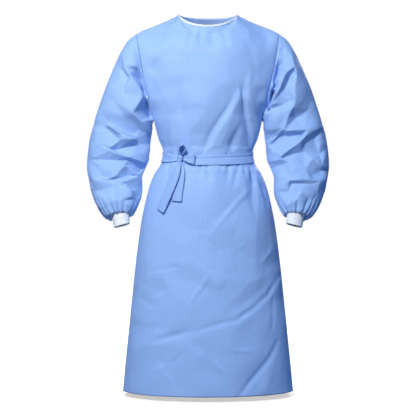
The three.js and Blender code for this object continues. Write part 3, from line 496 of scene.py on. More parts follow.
def crease_net(creases, low, high, spacing, clear, loose):
    """Cloth pulled flat between crease lines, as triangles of corner places and heights. Places clear of
    every crease stay near rest, with some looseness."""
    places, heights, edges = [], [], []
    for crease in creases:
        for i, (x, drop, out) in enumerate(crease):
            places.append((x, drop))
            heights.append(out)
            if i > 0:
                edges.append((len(places) - 2, len(places) - 1))
    starts = np.array([places[a] for a, _ in edges], float).reshape(-1, 2)
    runs = np.array([places[b] for _, b in edges], float).reshape(-1, 2) - starts
    rises = np.array([(heights[a], heights[b]) for a, b in edges], float).reshape(-1, 2)

    def beside(place):
        share = (((np.array(place) - starts) * runs).sum(1) / (runs**2).sum(1)).clip(0, 1)
        away = np.linalg.norm(starts + runs * share[:, None] - place, axis=1)
        return away, mix(rises[:, 0], rises[:, 1], share)

    for i in range(int((high[0] - low[0]) / spacing) + 2):
        for j in range(int((high[1] - low[1]) / spacing) + 2):
            x = low[0] + spacing * (i + 0.7 * (lattice(i, j, 5) - 0.5))
            drop = low[1] + spacing * (j + 0.5 * (i % 2) + 0.7 * (lattice(i, j, 6) - 0.5))
            if beside((x, drop))[0].min(initial=1000) > clear:
                places.append((x, drop))
                heights.append(loose * (lattice(i, j, 7) - 0.5))
    flat = [Vector(place) for place in places]
    corners, _, faces, origins, _, _ = delaunay_2d_cdt(flat, edges, [], 0, 0.01)
    outs = []
    for corner, origin in zip(corners, origins):
        away, out = beside(tuple(corner))
        outs.append(heights[origin[0]] if origin else out[away < 0.1].mean())
    return [([tuple(corners[i]) for i in face], [outs[i] for i in face]) for face in faces]


def height_on(net, x, drop):
    """The height of a crease net."""
    out = np.zeros(np.shape(x))
    for (a, b, c), (out_a, out_b, out_c) in net:
        size = (b[0] - a[0]) * (c[1] - a[1]) - (c[0] - a[0]) * (b[1] - a[1])
        if abs(size) < 0.01:
            continue
        s = ((x - a[0]) * (c[1] - a[1]) - (c[0] - a[0]) * (drop - a[1])) / size
        t = ((b[0] - a[0]) * (drop - a[1]) - (x - a[0]) * (b[1] - a[1])) / size
        here = (s >= -1e-4) & (t >= -1e-4) & (s + t <= 1.0001)
        out[here] = (out_a + s * (out_b - out_a) + t * (out_c - out_a))[here]
    return out


def thin_at(creases, x, drop):
    """The height of thin creases. Each is a width and its places, with how far it stands out at each."""
    out = np.zeros(np.shape(x))
    for width, places in creases:
        rise = np.zeros(np.shape(x))
        for (x0, drop0, out0), (x1, drop1, out1) in zip(places, places[1:]):
            run_x, run_drop = x1 - x0, drop1 - drop0
            share = (((x - x0) * run_x + (drop - drop0) * run_drop) / (run_x**2 + run_drop**2)).clip(0, 1)
            away = np.hypot(x - x0 - run_x * share, drop - drop0 - run_drop * share)
            here = mix(out0, out1, share) * (1 - away / width).clip(0, 1)
            rise = np.where(np.abs(here) > np.abs(rise), here, rise)
        out += rise
    return out


def eased(grid, times, is_round=False):
    """A grid of heights with its sharpest edges eased, as cloth of some thickness bends."""
    for _ in range(times):
        across = np.pad(grid, ((0, 0), (1, 1)), mode="wrap" if is_round else "edge")
        grid = (across[:, :-2] + 2 * across[:, 1:-1] + across[:, 2:]) / 4
        along = np.pad(grid, ((1, 1), (0, 0)), mode="edge")
        grid = (along[:-2] + 2 * along[1:-1] + along[2:]) / 4
    return grid


def points_of(x, y, z):
    return np.stack(np.broadcast_arrays(x, y, z), -1)


def unit(vectors):
    return vectors / np.linalg.norm(vectors, axis=-1, keepdims=True)


def top_edge(across, front):
    """A panel's top edge from the front: the neckline in the middle, and the shoulder seam on each side."""
    size, hand = np.abs(across), np.sign(across)
    turn = np.minimum(size / NECK_SHARE, 1) * QUARTER
    half = mix(NECK["half"], SHOULDER["half"], (size - NECK_SHARE) / (1 - NECK_SHARE))
    dip = NECK["front_drop"] if front else NECK["back_drop"]
    on_neck = size <= NECK_SHARE
    x = np.where(on_neck, NECK["half"] * np.sin(turn), half)
    drop = np.where(on_neck, dip * np.cos(turn).clip(0, 1) ** 1.3, shoulder_line(half)["drop"])
    return hand * x, drop


def seamed_point(across, level, front):
    """A point of the body without folds. Across runs from -1 to 1 between the side seams, and level from -1
    at the hem through 0 at the underarm to 1 at the neck and shoulders."""
    across, level = np.broadcast_arrays(np.asarray(across, float), np.asarray(level, float))
    depth = "front" if front else "back"
    low_drop = mix(UNDERARM["drop"], LENGTH, -np.minimum(level, 0))
    section = body_section(low_drop)
    low_x = section["half"] * np.sin(across * QUARTER)
    low_y = section[depth] * np.cos(across * QUARTER)

    rise = level.clip(0, 1)
    most = mix(1, SHOULDER_ARC, soft(rise, 0, 0.5)) * QUARTER
    edge = armhole_line(mix(UNDERARM["drop"], SHOULDER["drop"], rise))["half"]
    top_x, top_drop = top_edge(across, front)
    arc = SHOULDER_ARC * QUARTER
    shoulder_x = SHOULDER["half"] * np.sin(across * arc) / math.sin(arc)
    x = edge * np.sin(across * most) / np.sin(most) + soft(rise, 0, 1) * (top_x - shoulder_x)
    drop = mix(UNDERARM["drop"], top_drop, rise)
    below = ((drop - top_drop) / SHOULDER_ROUND).clip(0, 1)
    round_off = np.sin(below * QUARTER) ** 0.9
    angle = np.arcsin((x * np.sin(most) / edge).clip(-1, 1))
    bulge = ((np.cos(angle) - np.cos(most)) / (1 - np.cos(most))).clip(0, None)
    kept = soft(np.abs(across), 0.75, 1)
    edge_depth = ARMHOLE[depth] * 2 * np.sqrt(rise * (1 - rise))
    edge_depth = edge_depth * mix(soft(rise, 0, 0.22), 1, soft(np.abs(across), 0.84, 1))
    off_neck = x / (NECK["half"] + NECK["fade"] * below)
    near_neck = (1 - off_neck**2).clip(0, None) ** (0.5 + 4 * below).clip(0, 2.2)
    ring = (yoke_section(rise)[depth] - edge_depth) * bulge
    y = NECK[depth] * near_neck * (1 - round_off) + ring * round_off + edge_depth * mix(round_off, 1, kept)

    low = level <= 0
    facing = -1 if front else 1
    across_y = facing * (np.where(low, low_y, y) + SEAM_GAP / 2)
    return points_of(np.where(low, low_x, x), across_y, -np.where(low, low_drop, drop))


def body_point(across, level, front):
    """A point of the body, with the line below each neck point rounded off: the mean of its neighbours."""
    across, level = np.broadcast_arrays(np.asarray(across, float), np.asarray(level, float))
    reach = 0.24 * soft(1 - level, 0, 0.16) * soft(level, 0.02, 0.3) * soft(1 - np.abs(across), 0, 0.45)
    total = sum(seamed_point(across + reach * step, level, front) for step in np.linspace(-1, 1, 9))
    return total / 9


def facing_of(point_at, u, v, flip):
    """The way that a surface faces, from points beside, above and below."""
    step = 0.004
    beside = point_at(u + step, v) - point_at(u - step, v)
    above = point_at(u, np.minimum(v + step, 1)) - point_at(u, v - step)
    return flip * unit(np.cross(beside, above))


def body_facing(across, level, front):
    across, level = np.broadcast_arrays(np.asarray(across, float), np.asarray(level, float))
    facing = facing_of(lambda u, v: body_point(u, v, front), across, level, 1 if front else -1)
    on_seam = (level >= 1) & (np.abs(across) >= NECK_SHARE - 1e-6)
    facing[on_seam, 1] = 0
    return unit(facing)


def inner_edge(level):
    """The free edge of the back panel that lies inside, as its place across."""
    return np.where(level > 0, mix(-0.25, -0.117, level), mix(-0.25, -0.27, -level))


def outer_edge(level):
    """The free edge of the back panel that laps outside, as its place across."""
    return np.where(level > 0, mix(0.28, 0.17, level), mix(0.28, 0.3, -level))


def overlap_lift(across, level):
    """How far the outer back panel stands off the body's surface, so that it clears the inner one."""
    start = inner_edge(level) - 0.3
    return OVERLAP_LIFT * soft(across, start, start + 0.24)


def lift_past_overlap(across, level, ends):
    """How far what lies on the back stands off it: on the outer panel, then down to the inner one."""
    edge = outer_edge(level)
    past_edge = (OVERLAP_LIFT + 0.6) * (1 - soft(across, edge + 0.02, ends))
    return np.where(across <= edge, overlap_lift(across, level), past_edge)


def wall_faces(rows, columns, is_round):
    """The faces of a closed wall between two grids, outer then inner, as (outside, inside, rim) quads."""
    span = columns if is_round else columns - 1

    def at(layer, row, column):
        return (layer * rows + row) * columns + column % columns

    row, column = np.meshgrid(np.arange(rows - 1), np.arange(span), indexing="ij")
    row, column = row.ravel(), column.ravel()
    under, beside = row + 1, column + 1
    outside = [at(0, row, column), at(0, row, beside), at(0, under, beside), at(0, under, column)]
    inside = [at(1, row, column), at(1, under, column), at(1, under, beside), at(1, row, beside)]
    edge, last = np.arange(span), rows - 1
    beside = edge + 1
    rims = [
        np.stack([at(0, 0, beside), at(0, 0, edge), at(1, 0, edge), at(1, 0, beside)], 1),
        np.stack([at(0, last, edge), at(0, last, beside), at(1, last, beside), at(1, last, edge)], 1),
    ]
    if not is_round:
        edge, last = np.arange(rows - 1), columns - 1
        under = edge + 1
        rims += [
            np.stack([at(0, edge, 0), at(0, under, 0), at(1, under, 0), at(1, edge, 0)], 1),
            np.stack([at(0, under, last), at(0, edge, last), at(1, edge, last), at(1, under, last)], 1),
        ]
    return np.stack(outside, 1), np.stack(inside, 1), np.concatenate(rims)


def spread_out(outer):
    """Each point's place on its cloth laid flat, in millimetres."""
    rows, columns = outer.shape[:2]
    u = np.zeros((rows, columns))
    u[:, 1:] = np.cumsum(np.linalg.norm(np.diff(outer, axis=1), axis=-1), 1)
    u -= u[:, columns // 2 : columns // 2 + 1]
    v = np.zeros(rows)
    v[1:] = np.cumsum(np.linalg.norm(np.diff(outer, axis=0), axis=-1).mean(1))
    return np.stack([u, np.broadcast_to(v[:, None], u.shape)], -1)


def wall(name, outer, inner, is_round=False):
    """A closed wall of cloth between two grids of points, with its flat places as a UV map in metres."""
    rows, columns = outer.shape[:2]
    outside, inside, rim = wall_faces(rows, columns, is_round)
    faces = np.concatenate([outside, inside, rim])
    points = np.concatenate([outer.reshape(-1, 3), inner.reshape(-1, 3)]) / 1000
    a, b, c = (points[faces[:, i]] for i in range(3))
    if np.einsum("ij,ij->i", a, np.cross(b, c)).sum() < 0:
        faces = faces[:, ::-1]
    mesh = bpy.data.meshes.new(name)
    mesh.vertices.add(len(points))
    mesh.vertices.foreach_set("co", points.ravel())
    mesh.loops.add(faces.size)
    mesh.loops.foreach_set("vertex_index", faces.ravel())
    mesh.polygons.add(len(faces))
    mesh.polygons.foreach_set("loop_start", np.arange(0, faces.size, 4))
    smooth = np.ones(len(faces), bool)
    smooth[len(outside) + len(inside) :] = False
    mesh.polygons.foreach_set("use_smooth", smooth)
    flat = np.tile(spread_out(outer).reshape(-1, 2), (2, 1)) / 1000
    mesh.uv_layers.new(name="flat").data.foreach_set("uv", flat[faces.ravel()].ravel())
    mesh.update(calc_edges=True)
    mesh.validate()
    piece = bpy.data.objects.new(name, mesh)
    bpy.context.scene.collection.objects.link(piece)
    return piece


def linear(hex_colour):
    """An sRGB hex colour as linear RGBA."""
    parts = [int(hex_colour[i : i + 2], 16) / 255 for i in (1, 3, 5)]
    return (*(p / 12.92 if p <= 0.04045 else ((p + 0.055) / 1.055) ** 2.4 for p in parts), 1)


def add_node(tree, kind, settings=None, links=None):
    """Adds a node. Settings are its properties or its inputs' values, links are outputs for its inputs."""
    node = tree.nodes.new(kind)
    for key, value in (settings or {}).items():
        if isinstance(key, str) and hasattr(node, key):
            setattr(node, key, value)
        else:
            node.inputs[key].default_value = value
    for key, source in (links or {}).items():
        tree.links.new(source, node.inputs[key])
    return node


# How far apart the patterns of the cloth repeat. Real fibres are about 0.02 mm thick and clump within 1 to
# 3 mm. Both are drawn as coarse as they need to show. Bond points and knit loops have their real spacing.
PATTERN = {"cloud": 6.67, "fibre": 2.38, "bond": 2.5, "loop": 1.21, "fuzz": 2}


def scale_of(spacing):
    """A pattern's scale on a UV map in metres, from its spacing in millimetres."""
    return 1000 / spacing


def new_tree(name):
    """A material with an empty node tree."""
    material = bpy.data.materials.new(name)
    material.use_nodes = True
    material.node_tree.nodes.clear()
    return material, material.node_tree


def two_colours(tree, source, dark, light):
    """A ramp between two colours, each with its place on it."""
    ramp = add_node(tree, "ShaderNodeValToRGB", links={"Fac": source})
    for element, (place, colour) in zip(ramp.color_ramp.elements, (dark, light)):
        element.position = place
        element.color = linear(colour)
    return ramp.outputs["Color"]


def nonwoven(name, light, dark):
    """Spunbond polypropylene nonwoven: matt, slightly cloudy and fibrous, with fine embossed bond points."""
    material, tree = new_tree(name)
    flat = {"Vector": add_node(tree, "ShaderNodeUVMap", {"uv_map": "flat"}).outputs["UV"]}
    clouds = {"Scale": scale_of(PATTERN["cloud"]), "Detail": 5, "Roughness": 0.72}
    cloud = add_node(tree, "ShaderNodeTexNoise", clouds, flat)
    fibres = {"Scale": scale_of(PATTERN["fibre"]), "Detail": 3, "Roughness": 0.7}
    fibre = add_node(tree, "ShaderNodeTexNoise", fibres, flat)
    tone = add_node(
        tree,
        "ShaderNodeMath",
        {"operation": "MULTIPLY_ADD", 1: 0.45},
        {0: fibre.outputs["Fac"], 2: cloud.outputs["Fac"]},
    )
    colour = two_colours(tree, tone.outputs[0], (0.5, dark), (0.95, light))
    bonds = {"Scale": scale_of(PATTERN["bond"]), "Randomness": 0.25}
    bond = add_node(tree, "ShaderNodeTexVoronoi", bonds, flat)
    relief = add_node(
        tree,
        "ShaderNodeMath",
        {"operation": "MULTIPLY_ADD", 1: 0.6},
        {0: bond.outputs["Distance"], 2: fibre.outputs["Fac"]},
    )
    low = {"Strength": 0.25, "Distance": 0.0004}
    bump = add_node(tree, "ShaderNodeBump", low, {"Height": relief.outputs[0]})
    shader = add_node(
        tree,
        "ShaderNodeBsdfPrincipled",
        {"Roughness": 0.72, "Specular IOR Level": 0.35, "Sheen Weight": 0.15, "Sheen Roughness": 0.5},
        {"Base Color": colour, "Normal": bump.outputs["Normal"]},
    )
    add_node(tree, "ShaderNodeOutputMaterial", links={"Surface": shader.outputs[0]})
    return material


def white_knit(name, light, dark):
    """Polyester rib knit or soft tape: matt and white, a little fuzzy, with fine rows of loops."""
    material, tree = new_tree(name)
    flat = {"Vector": add_node(tree, "ShaderNodeUVMap", {"uv_map": "flat"}).outputs["UV"]}
    # A wave node's bands repeat 20 times in a full turn of its scale.
    rows = {"wave_type": "BANDS", "bands_direction": "Y", "Scale": scale_of(PATTERN["loop"]) * math.tau / 20}
    uneven = {"Distortion": 2, "Detail": 2, "Detail Scale": 2}
    loops = add_node(tree, "ShaderNodeTexWave", {**rows, **uneven}, flat)
    fuzz = add_node(tree, "ShaderNodeTexNoise", {"Scale": scale_of(PATTERN["fuzz"]), "Detail": 3}, flat)
    colour = two_colours(tree, fuzz.outputs["Fac"], (0.3, dark), (0.7, light))
    low = {"Strength": 0.4, "Distance": 0.0004}
    bump = add_node(tree, "ShaderNodeBump", low, {"Height": loops.outputs["Fac"]})
    shader = add_node(
        tree,
        "ShaderNodeBsdfPrincipled",
        {"Roughness": 0.9, "Specular IOR Level": 0.3, "Sheen Weight": 0.3},
        {"Base Color": colour, "Normal": bump.outputs["Normal"]},
    )
    add_node(tree, "ShaderNodeOutputMaterial", links={"Surface": shader.outputs[0]})
    return material


gown_cloth = nonwoven("spunbond nonwoven, blue", "#abcaf3", "#98b9ea")
belt_cloth = nonwoven("spunbond nonwoven, folded belt", "#a7c6f1", "#91b1e4")
cuff_knit = white_knit("polyester rib knit, white", "#fffdf8", "#f4f2ee")
neck_tape = white_knit("soft nonwoven tape, white", "#f4f5f6", "#e4e9f2")


# The body panels. Their rows change their spacing at the waist.
WAIST_DROP = 480
WAIST_LEVEL = -(WAIST_DROP - UNDERARM["drop"]) / (LENGTH - UNDERARM["drop"])


def panel_levels(skirt, bodice, yoke):
    """The rows of a panel from the hem up, closest together near the shoulder."""
    angles = np.linspace(0, math.pi, yoke + 1)[1:]
    return np.concatenate(
        [
            np.linspace(-1, WAIST_LEVEL, skirt + 1),
            np.linspace(WAIST_LEVEL, 0, bodice + 1)[1:],
            mix((1 - np.cos(angles)) / 2, angles / math.pi, 0.5),
        ]
    )


# Half of a panel's cloth laid flat, and the places that cover a panel seen from the front.
PANEL_HALF = 330
PANEL_LOW, PANEL_HIGH = (-280, -10), (280, 1230)
chest_net = crease_net(CHEST_CREASES, PANEL_LOW, PANEL_HIGH, 58, 27, 6)
seat_net = crease_net([], PANEL_LOW, PANEL_HIGH, 70, 30, 6)


def body_relief(across, level, front):
    """The height of a panel's folds, creases and crumples, which die away at its seams."""
    base = body_point(across, level, front)
    x, drop = base[..., 0], -base[..., 2]
    u = across * PANEL_HALF
    wander_x = x + 3 * noise(u, drop, 60, 3)
    wander_drop = drop + 3 * noise(u, drop, 60, 4)
    out = folds_at(FRONT_FOLDS if front else BACK_FOLDS, wander_x, wander_drop)
    out = out + height_on(chest_net if front else seat_net, wander_x, wander_drop)
    out = out + THIN_DEPTH * thin_at(THIN_CREASES if front else BACK_THIN_CREASES, x, drop)
    out = eased(out, 1)
    above = ((BELTED["top"] - drop) / 26).clip(0, 1)
    out = out + (3 + noise(u, 0 * u, 31, 9)) * np.sin(above * math.pi)
    under = ((drop - BELTED["bottom"]) / 22).clip(0, 1)
    out = out + (1.8 + noise(u, 0 * u, 27, 8)) * np.sin(under * math.pi)
    belted = (drop > BELTED["flat_from"]) & (drop < BELTED["flat_to"])
    out = np.where(belted, np.minimum(out, 0), out)
    crumple = 2.2 * facets(u + 0.4 * drop, drop, 105, 11) + 0.9 * facets(u, drop + 0.3 * u, 48, 23)
    crumple *= 1 - 0.7 * soft(65 - np.abs(drop - BELTED["middle"]), 0, 45)
    from_side = soft(1 - np.abs(across), 0, 0.16)
    from_top = soft(1 - level, 0, 0.14)
    return (out + crumple - 1.2) * from_side * from_top


def body_panel(name, columns_at, levels, front, lift=None):
    """A panel of the body, by its columns at each level and by how far it stands off the body's surface."""
    level = np.broadcast_to(levels[:, None], (len(levels), len(columns_at(0.0))))
    across = np.stack([columns_at(value) for value in levels])
    base, facing = body_point(across, level, front), body_facing(across, level, front)
    out = body_relief(across, level, front)
    if lift is not None:
        out = out + lift(across, level)
    outer = base + facing * out[..., None]
    return wall(name, outer, outer - facing * CLOTH)


front_columns = np.concatenate(
    [
        np.linspace(-1, -NECK_SHARE, 57),
        np.linspace(-NECK_SHARE, NECK_SHARE, 76)[1:],
        np.linspace(NECK_SHARE, 1, 57)[1:],
    ]
)
front_panel = body_panel("front_panel", lambda level: front_columns, panel_levels(150, 40, 64), True)


def inner_columns(level):
    """The columns of the left back panel at a level, from its free edge to its side seam."""
    edge = float(inner_edge(level))
    return np.concatenate([np.linspace(edge, NECK_SHARE, 46), np.linspace(NECK_SHARE, 1, 41)[1:]])


def outer_columns(level):
    """The columns of the right back panel at a level, from its side seam to its free edge."""
    edge = float(outer_edge(level))
    return np.concatenate([np.linspace(-1, -NECK_SHARE, 41), np.linspace(-NECK_SHARE, edge, 52)[1:]])


back_levels = panel_levels(118, 34, 54)
back_panel_left = body_panel("back_panel_left", inner_columns, back_levels, False)
back_panel_right = body_panel("back_panel_right", outer_columns, back_levels, False, overlap_lift)


# The sleeves and their cuffs.
def oval_point(section, turn, hand):
    """A point of an oval ring, by its turn from the outer side over the front."""
    cos, sin = np.cos(turn * 2 * math.pi), np.sin(turn * 2 * math.pi)
    half = (section["out_half"] + section["in_half"] + (section["out_half"] - section["in_half"]) * cos) / 2
    drop = (section["out_drop"] + section["in_drop"] + (section["out_drop"] - section["in_drop"]) * cos) / 2
    y = section["y"] - np.where(sin > 0, section["front"], section["back"]) * sin
    return points_of(hand * half, y, -(drop - section["lift"] * sin))


def sleeve_point(turn, along, hand):
    """A point of a sleeve without folds. Its head follows the armhole's line."""
    point = oval_point(sleeve_section(along), turn, hand)
    near = (1 - along / 0.1).clip(0, None)
    drop = -point[..., 2]
    share = (drop - SHOULDER["drop"]) / (UNDERARM["drop"] - SHOULDER["drop"])
    straight = mix(SHOULDER["half"], UNDERARM["half"], share)
    bow = np.where(near > 0, armhole_line(drop)["half"] - straight, 0)
    point[..., 0] += hand * (bow * near + SEAM_GAP)
    return point


def gather_turn(share, along):
    """The turn of a column of a sleeve's cloth, pulled a little to one side or the other by the gathers."""
    shift = 0.012 * np.sin(share * 4 * math.pi + 1) + 0.008 * np.sin(share * 10 * math.pi)
    return share + shift * soft(along, 0.4, 0.8)


def sleeve_relief(share, along, hand, net, back_net, seed):
    """How far a sleeve's cloth stands out in crumples and gathers, and how far forward in creases."""
    turn = gather_turn(share, along)
    at = sleeve_point(turn, along, hand)
    u, v = share * SLEEVE_FLAT["round"], along * SLEEVE_FLAT["long"]
    x = np.abs(at[..., 0]) + 3 * noise(u, v, 40, seed)
    drop = -at[..., 2] + 3 * noise(u, v, 40, seed + 1)
    facing_front = np.sin(turn * 2 * math.pi)
    forward = np.where(facing_front > 0, height_on(net, x, drop), -height_on(back_net, x, drop + 14))
    forward = forward * soft(np.abs(facing_front), 0.02, 0.42)
    # The crumples go round the sleeve, so near their end they fade into their start.
    u_round = u + hand * 9 + 0.001
    pulled = height_on(crumple_net, u_round, v)
    start_again = height_on(crumple_net, u_round - SLEEVE_FLAT["round"], v)
    pulled = mix(pulled, start_again, soft(u_round, 400, 455))
    forward = eased(SLEEVE_DEPTH * forward * (1 - 0.25 * soft(along, 0.7, 0.86)), 1, True)
    out = eased(pulled * mix(0.35, 1, soft(np.abs(facing_front), 0, 0.5)), 1, True)
    crumple = 1.2 * facets(u + 0.5 * v, v - 0.3 * u, 84, seed + 2)
    fade = soft(along, 0, 0.05) * (1 - soft(along, 0.88, 0.96))
    rise = soft(along, GATHERS["start"], 0.95) * (1 - soft(along, 0.955, 1))
    wave = np.cos(share * GATHERS["count"] * 2 * math.pi + 2.2 * noise(u, v * 0.2, 46, seed + 9))
    wave = 0.6 * wave + 0.4 * np.abs(wave) + 0.35 * noise(u, v * 0.3, 17, seed + 11)
    gather = wave * (GATHERS["out"] * rise + GATHERS["seam"] * soft(along, 0.93, 1))
    return (out + crumple - 0.8) * fade + gather, forward * fade


def sleeve(name, hand, net, back_net, seed):
    """A sleeve, as a tube of cloth from the armhole to the cuff's seam."""
    share, along = np.meshgrid(np.arange(200) / 200, np.linspace(0, 1, 236) ** 0.9)
    turn = gather_turn(share, along)
    facing = facing_of(lambda u, v: sleeve_point(u, np.maximum(v, 0), hand), turn, along, -hand)
    # At the armhole the cloth always faces away from the body.
    facing[0, :, 0] = hand * np.maximum(0.2, hand * facing[0, :, 0])
    facing = unit(facing)
    out, forward = sleeve_relief(share, along, hand, net, back_net, seed)
    inner = sleeve_point(turn, along, hand) + facing * out[..., None]
    inner[..., 1] -= forward
    return wall(name, inner + facing * CLOTH, inner, True)


def cuff(name, hand):
    """A ribbed tube with a fluttering sewn edge at the sleeve's end."""
    ribs, columns = 44, 264
    share, along = np.meshgrid(np.arange(columns) / columns, np.linspace(0, 1, 40) ** 1.5)

    def point_at(turn, place):
        return oval_point(cuff_section(place), turn, hand)

    facing = facing_of(point_at, share, np.maximum(along, 0.01), -hand)
    base = point_at(share, along)
    ribbed = 0.45 * np.cos(share * ribs * 2 * math.pi) * soft(along, 0.05, 0.15)
    lip = 1 - soft(along, 0, 0.1)
    flutter = lip * (1.2 * np.cos(share * 9 * 2 * math.pi + 1) + 0.6 * np.cos(share * 17 * 2 * math.pi))
    outer = base + facing * (ribbed + flutter)[..., None]
    return wall(name, outer, base + facing * (flutter - 1.4)[..., None], True)


crumple_net = crease_net([], (-70, -30), (500, 650), 34, 0, 6)
right_net = crease_net(RIGHT_SLEEVE_CREASES, (140, 20), (410, 680), 42, 20, 7)
left_net = crease_net(LEFT_SLEEVE_CREASES, (140, 20), (410, 680), 42, 20, 6)
sleeve_r = sleeve("sleeve_r", -1, right_net, left_net, 31)
sleeve_l = sleeve("sleeve_l", 1, left_net, right_net, 57)
cuff_r, cuff_l = cuff("cuff_r", -1), cuff("cuff_l", 1)


# The binding of the neck.
def neck_stations():
    """Places round the neckline between the back's two free edges: across, whether on the front, and lift."""
    stations = [(across, False, 0.0) for across in np.linspace(float(inner_edge(1.0)), NECK_SHARE, 50)]
    stations += [(across, True, 0.0) for across in np.linspace(NECK_SHARE, -NECK_SHARE, 110)[1:-1]]
    for across in np.linspace(-NECK_SHARE, float(outer_edge(1.0)), 50):
        stations.append((across, False, float(overlap_lift(across, 1.0))))
    return stations


def binding():
    """The tape folded over the neck's edge, a little uneven, and thinner where it turns at the shoulders."""
    stations = neck_stations()
    top = np.concatenate([body_point([a], [1.0], front) for a, front, _ in stations])
    facing = np.concatenate([body_facing([a], [1.0], front) for a, front, _ in stations])
    for _ in range(30):
        facing[1:-1] = unit(facing[:-2] + facing[1:-1] + facing[2:])
    lift = np.array([lift for _, _, lift in stations])[:, None]
    along = unit(np.gradient(top, axis=0))
    down = unit(np.cross(facing, along))
    thin = 1 - 0.75 * soft(np.abs(top[:, :1]), 0.86 * NECK["half"], NECK["half"])
    place = np.cumsum(np.linalg.norm(np.diff(top, axis=0, prepend=top[:1]), axis=1))[:, None]
    uneven = 1 + 0.14 * noise(place, 0 * place, 9, 91) + 0.1 * noise(place, 0 * place, 4, 92)
    # Each profile gives how far a place lies below the neck's edge and how far it stands out.
    profile = [(6.6, 0.5), (6.4, 1.2), (5, 1.7), (2.5, 1.9), (0.3, 1.7), (-0.9, 1.0), (-1, 0.3)]
    back = [(6.4, 0.3), (6, 0.3), (4.6, 0.3), (2.5, 0.3), (0.8, 0.3), (0, 0.2), (-0.6, 0.1)]
    outer = [top + down * low * uneven**0.5 + facing * (out * uneven * thin + lift) for low, out in profile]
    inner = [top + down * low + facing * (out * thin + lift) for low, out in back]
    return wall("neck_tape", np.stack(outer, 1), np.stack(inner, 1))


neck_tape_piece = binding()


# The belt and its bow.
def before_body(x, drop, out):
    """A place in front of the body, and the level way along the body there."""
    level = (UNDERARM["drop"] - drop) / (LENGTH - UNDERARM["drop"])
    across = np.arcsin(x / body_section(drop)["half"]) / QUARTER
    facing = body_facing(across, level, True)
    point = body_point(across, level, True)
    point[..., 1] -= out
    zero = np.zeros(np.shape(facing[..., 0]))
    return point, unit(np.stack([-facing[..., 1], facing[..., 0], zero], -1))


def belt():
    """The band round the waist, from one side of the knot round to the other."""
    line = through(BELT, "round")
    around = np.linspace(BELT[0]["round"], BELT[-1]["round"], 460)
    share = np.linspace(-0.5, 0.5, 25)
    at = line(around)
    drop = at["drop"][:, None] + at["wide"][:, None] * share
    level = (UNDERARM["drop"] - drop) / (LENGTH - UNDERARM["drop"])
    turn = np.broadcast_to(around[:, None], drop.shape)
    front = (turn <= 1) | (turn >= 3)
    across = np.where(turn <= 1, turn, np.where(turn >= 3, turn - 4, 2 - turn))
    base = np.where(front[..., None], body_point(across, level, True), body_point(across, level, False))
    facing = np.where(front[..., None], body_facing(across, level, True), body_facing(across, level, False))
    lift = np.where(front, 0, lift_past_overlap(across, level, outer_edge(level) + 0.2))
    # Each quarter of the belt is about 200 mm long.
    run = turn * 200
    line_at = -0.2 + 0.05 * noise(run, 0 * run, 60, 73)
    crease = 2 * (1 - np.abs(share - line_at) / 0.09).clip(0, 1)
    crease = crease * soft(turn, -0.3, 0.1) * soft(1 - turn, 0, 0.5)
    to_knot = ((KNOT_CREASES["round"] - turn) / KNOT_CREASES["reach"]).clip(0, 1)
    for row in KNOT_CREASE_ROWS:
        near = (1 - np.abs(share - row["side"] * to_knot**0.7) / 0.11).clip(0, 1)
        crease -= row["deep"] * near * soft(to_knot, 0, 0.2) * soft(1 - to_knot, 0, 0.5)
    ripple = 0.7 * noise(run, drop, 36, 71) + 0.5 * noise(run, drop * 0.3, 14, 72)
    edge_round = 0.5 * np.abs(share * 2) ** 8
    height = lift + (2.7 + ripple - crease - edge_round).clip(0.9, 4.6)
    outer = base + facing * height[..., None]
    inner = base + facing * (lift + 0.5)[..., None]
    return wall("belt_band", outer, inner)


def band(name, rows, steps, seed):
    """A folded band along a middle line, with its width across the line."""
    line = through([{**row, "place": i} for i, row in enumerate(rows)], "place")
    place = np.linspace(0, len(rows) - 1, steps)

    def middle(at):
        row = line(np.clip(at, 0, len(rows) - 1))
        return before_body(row["x"], row["drop"], row["out"])

    point, level_way = middle(place)
    row = line(place)
    lean = np.radians(row["lean"])[:, None]
    along = unit(middle(place + 0.05)[0] - middle(place - 0.05)[0])
    turn = np.radians(row["turn"])[:, None]
    outward = np.stack([level_way[:, 1], -level_way[:, 0], 0 * row["x"]], -1)
    down = np.array([0, 0, -1])
    across = level_way * np.cos(lean) * np.cos(turn) + outward * np.sin(turn) + down * np.sin(lean)
    across = unit(across - along * (across * along).sum(1, keepdims=True))
    facing = unit(np.cross(along, across))
    share = np.linspace(-0.5, 0.5, 17)
    bow = row["cup"][:, None] * (1 - (2 * share) ** 2)
    pleat = 0.9 * noise(share[None, :] * 30 + 0 * place[:, None], place[:, None] * 8, 7, seed)
    mid = point[:, None] + across[:, None] * (share[:, None] * row["wide"][:, None, None])
    mid = mid + facing[:, None] * (bow + pleat)[..., None]
    thin = (0.75 - 0.4 * np.abs(share * 2) ** 6)[None, :, None]
    return wall(name, mid + facing[:, None] * thin, mid - facing[:, None] * thin)


def knot():
    """The knot, with the belt's cloth wrapped round it in a slant."""
    middle = before_body(np.array([KNOT["x"]]), np.array([KNOT["drop"]]), KNOT["out"])[0][0]
    turn, rise = np.meshgrid(np.arange(72) / 72 * 2 * math.pi, np.linspace(0.02, 0.98, 48))
    wrap = 1 + 0.12 * np.cos(rise * 4 * math.pi + turn) + 0.07 * np.cos(rise * 24 + 3 * np.sin(turn * 2))
    girth = np.sin(rise * math.pi) ** 0.7 * wrap
    x = KNOT["half_x"] * girth * np.cos(turn)
    y = KNOT["half_y"] * girth * np.sin(turn)
    outer = middle + points_of(x, y, -KNOT["half_drop"] * np.cos(rise * math.pi))
    inner = middle + (outer - middle) * 0.4
    return wall("belt_knot_wrap", outer, inner, True)


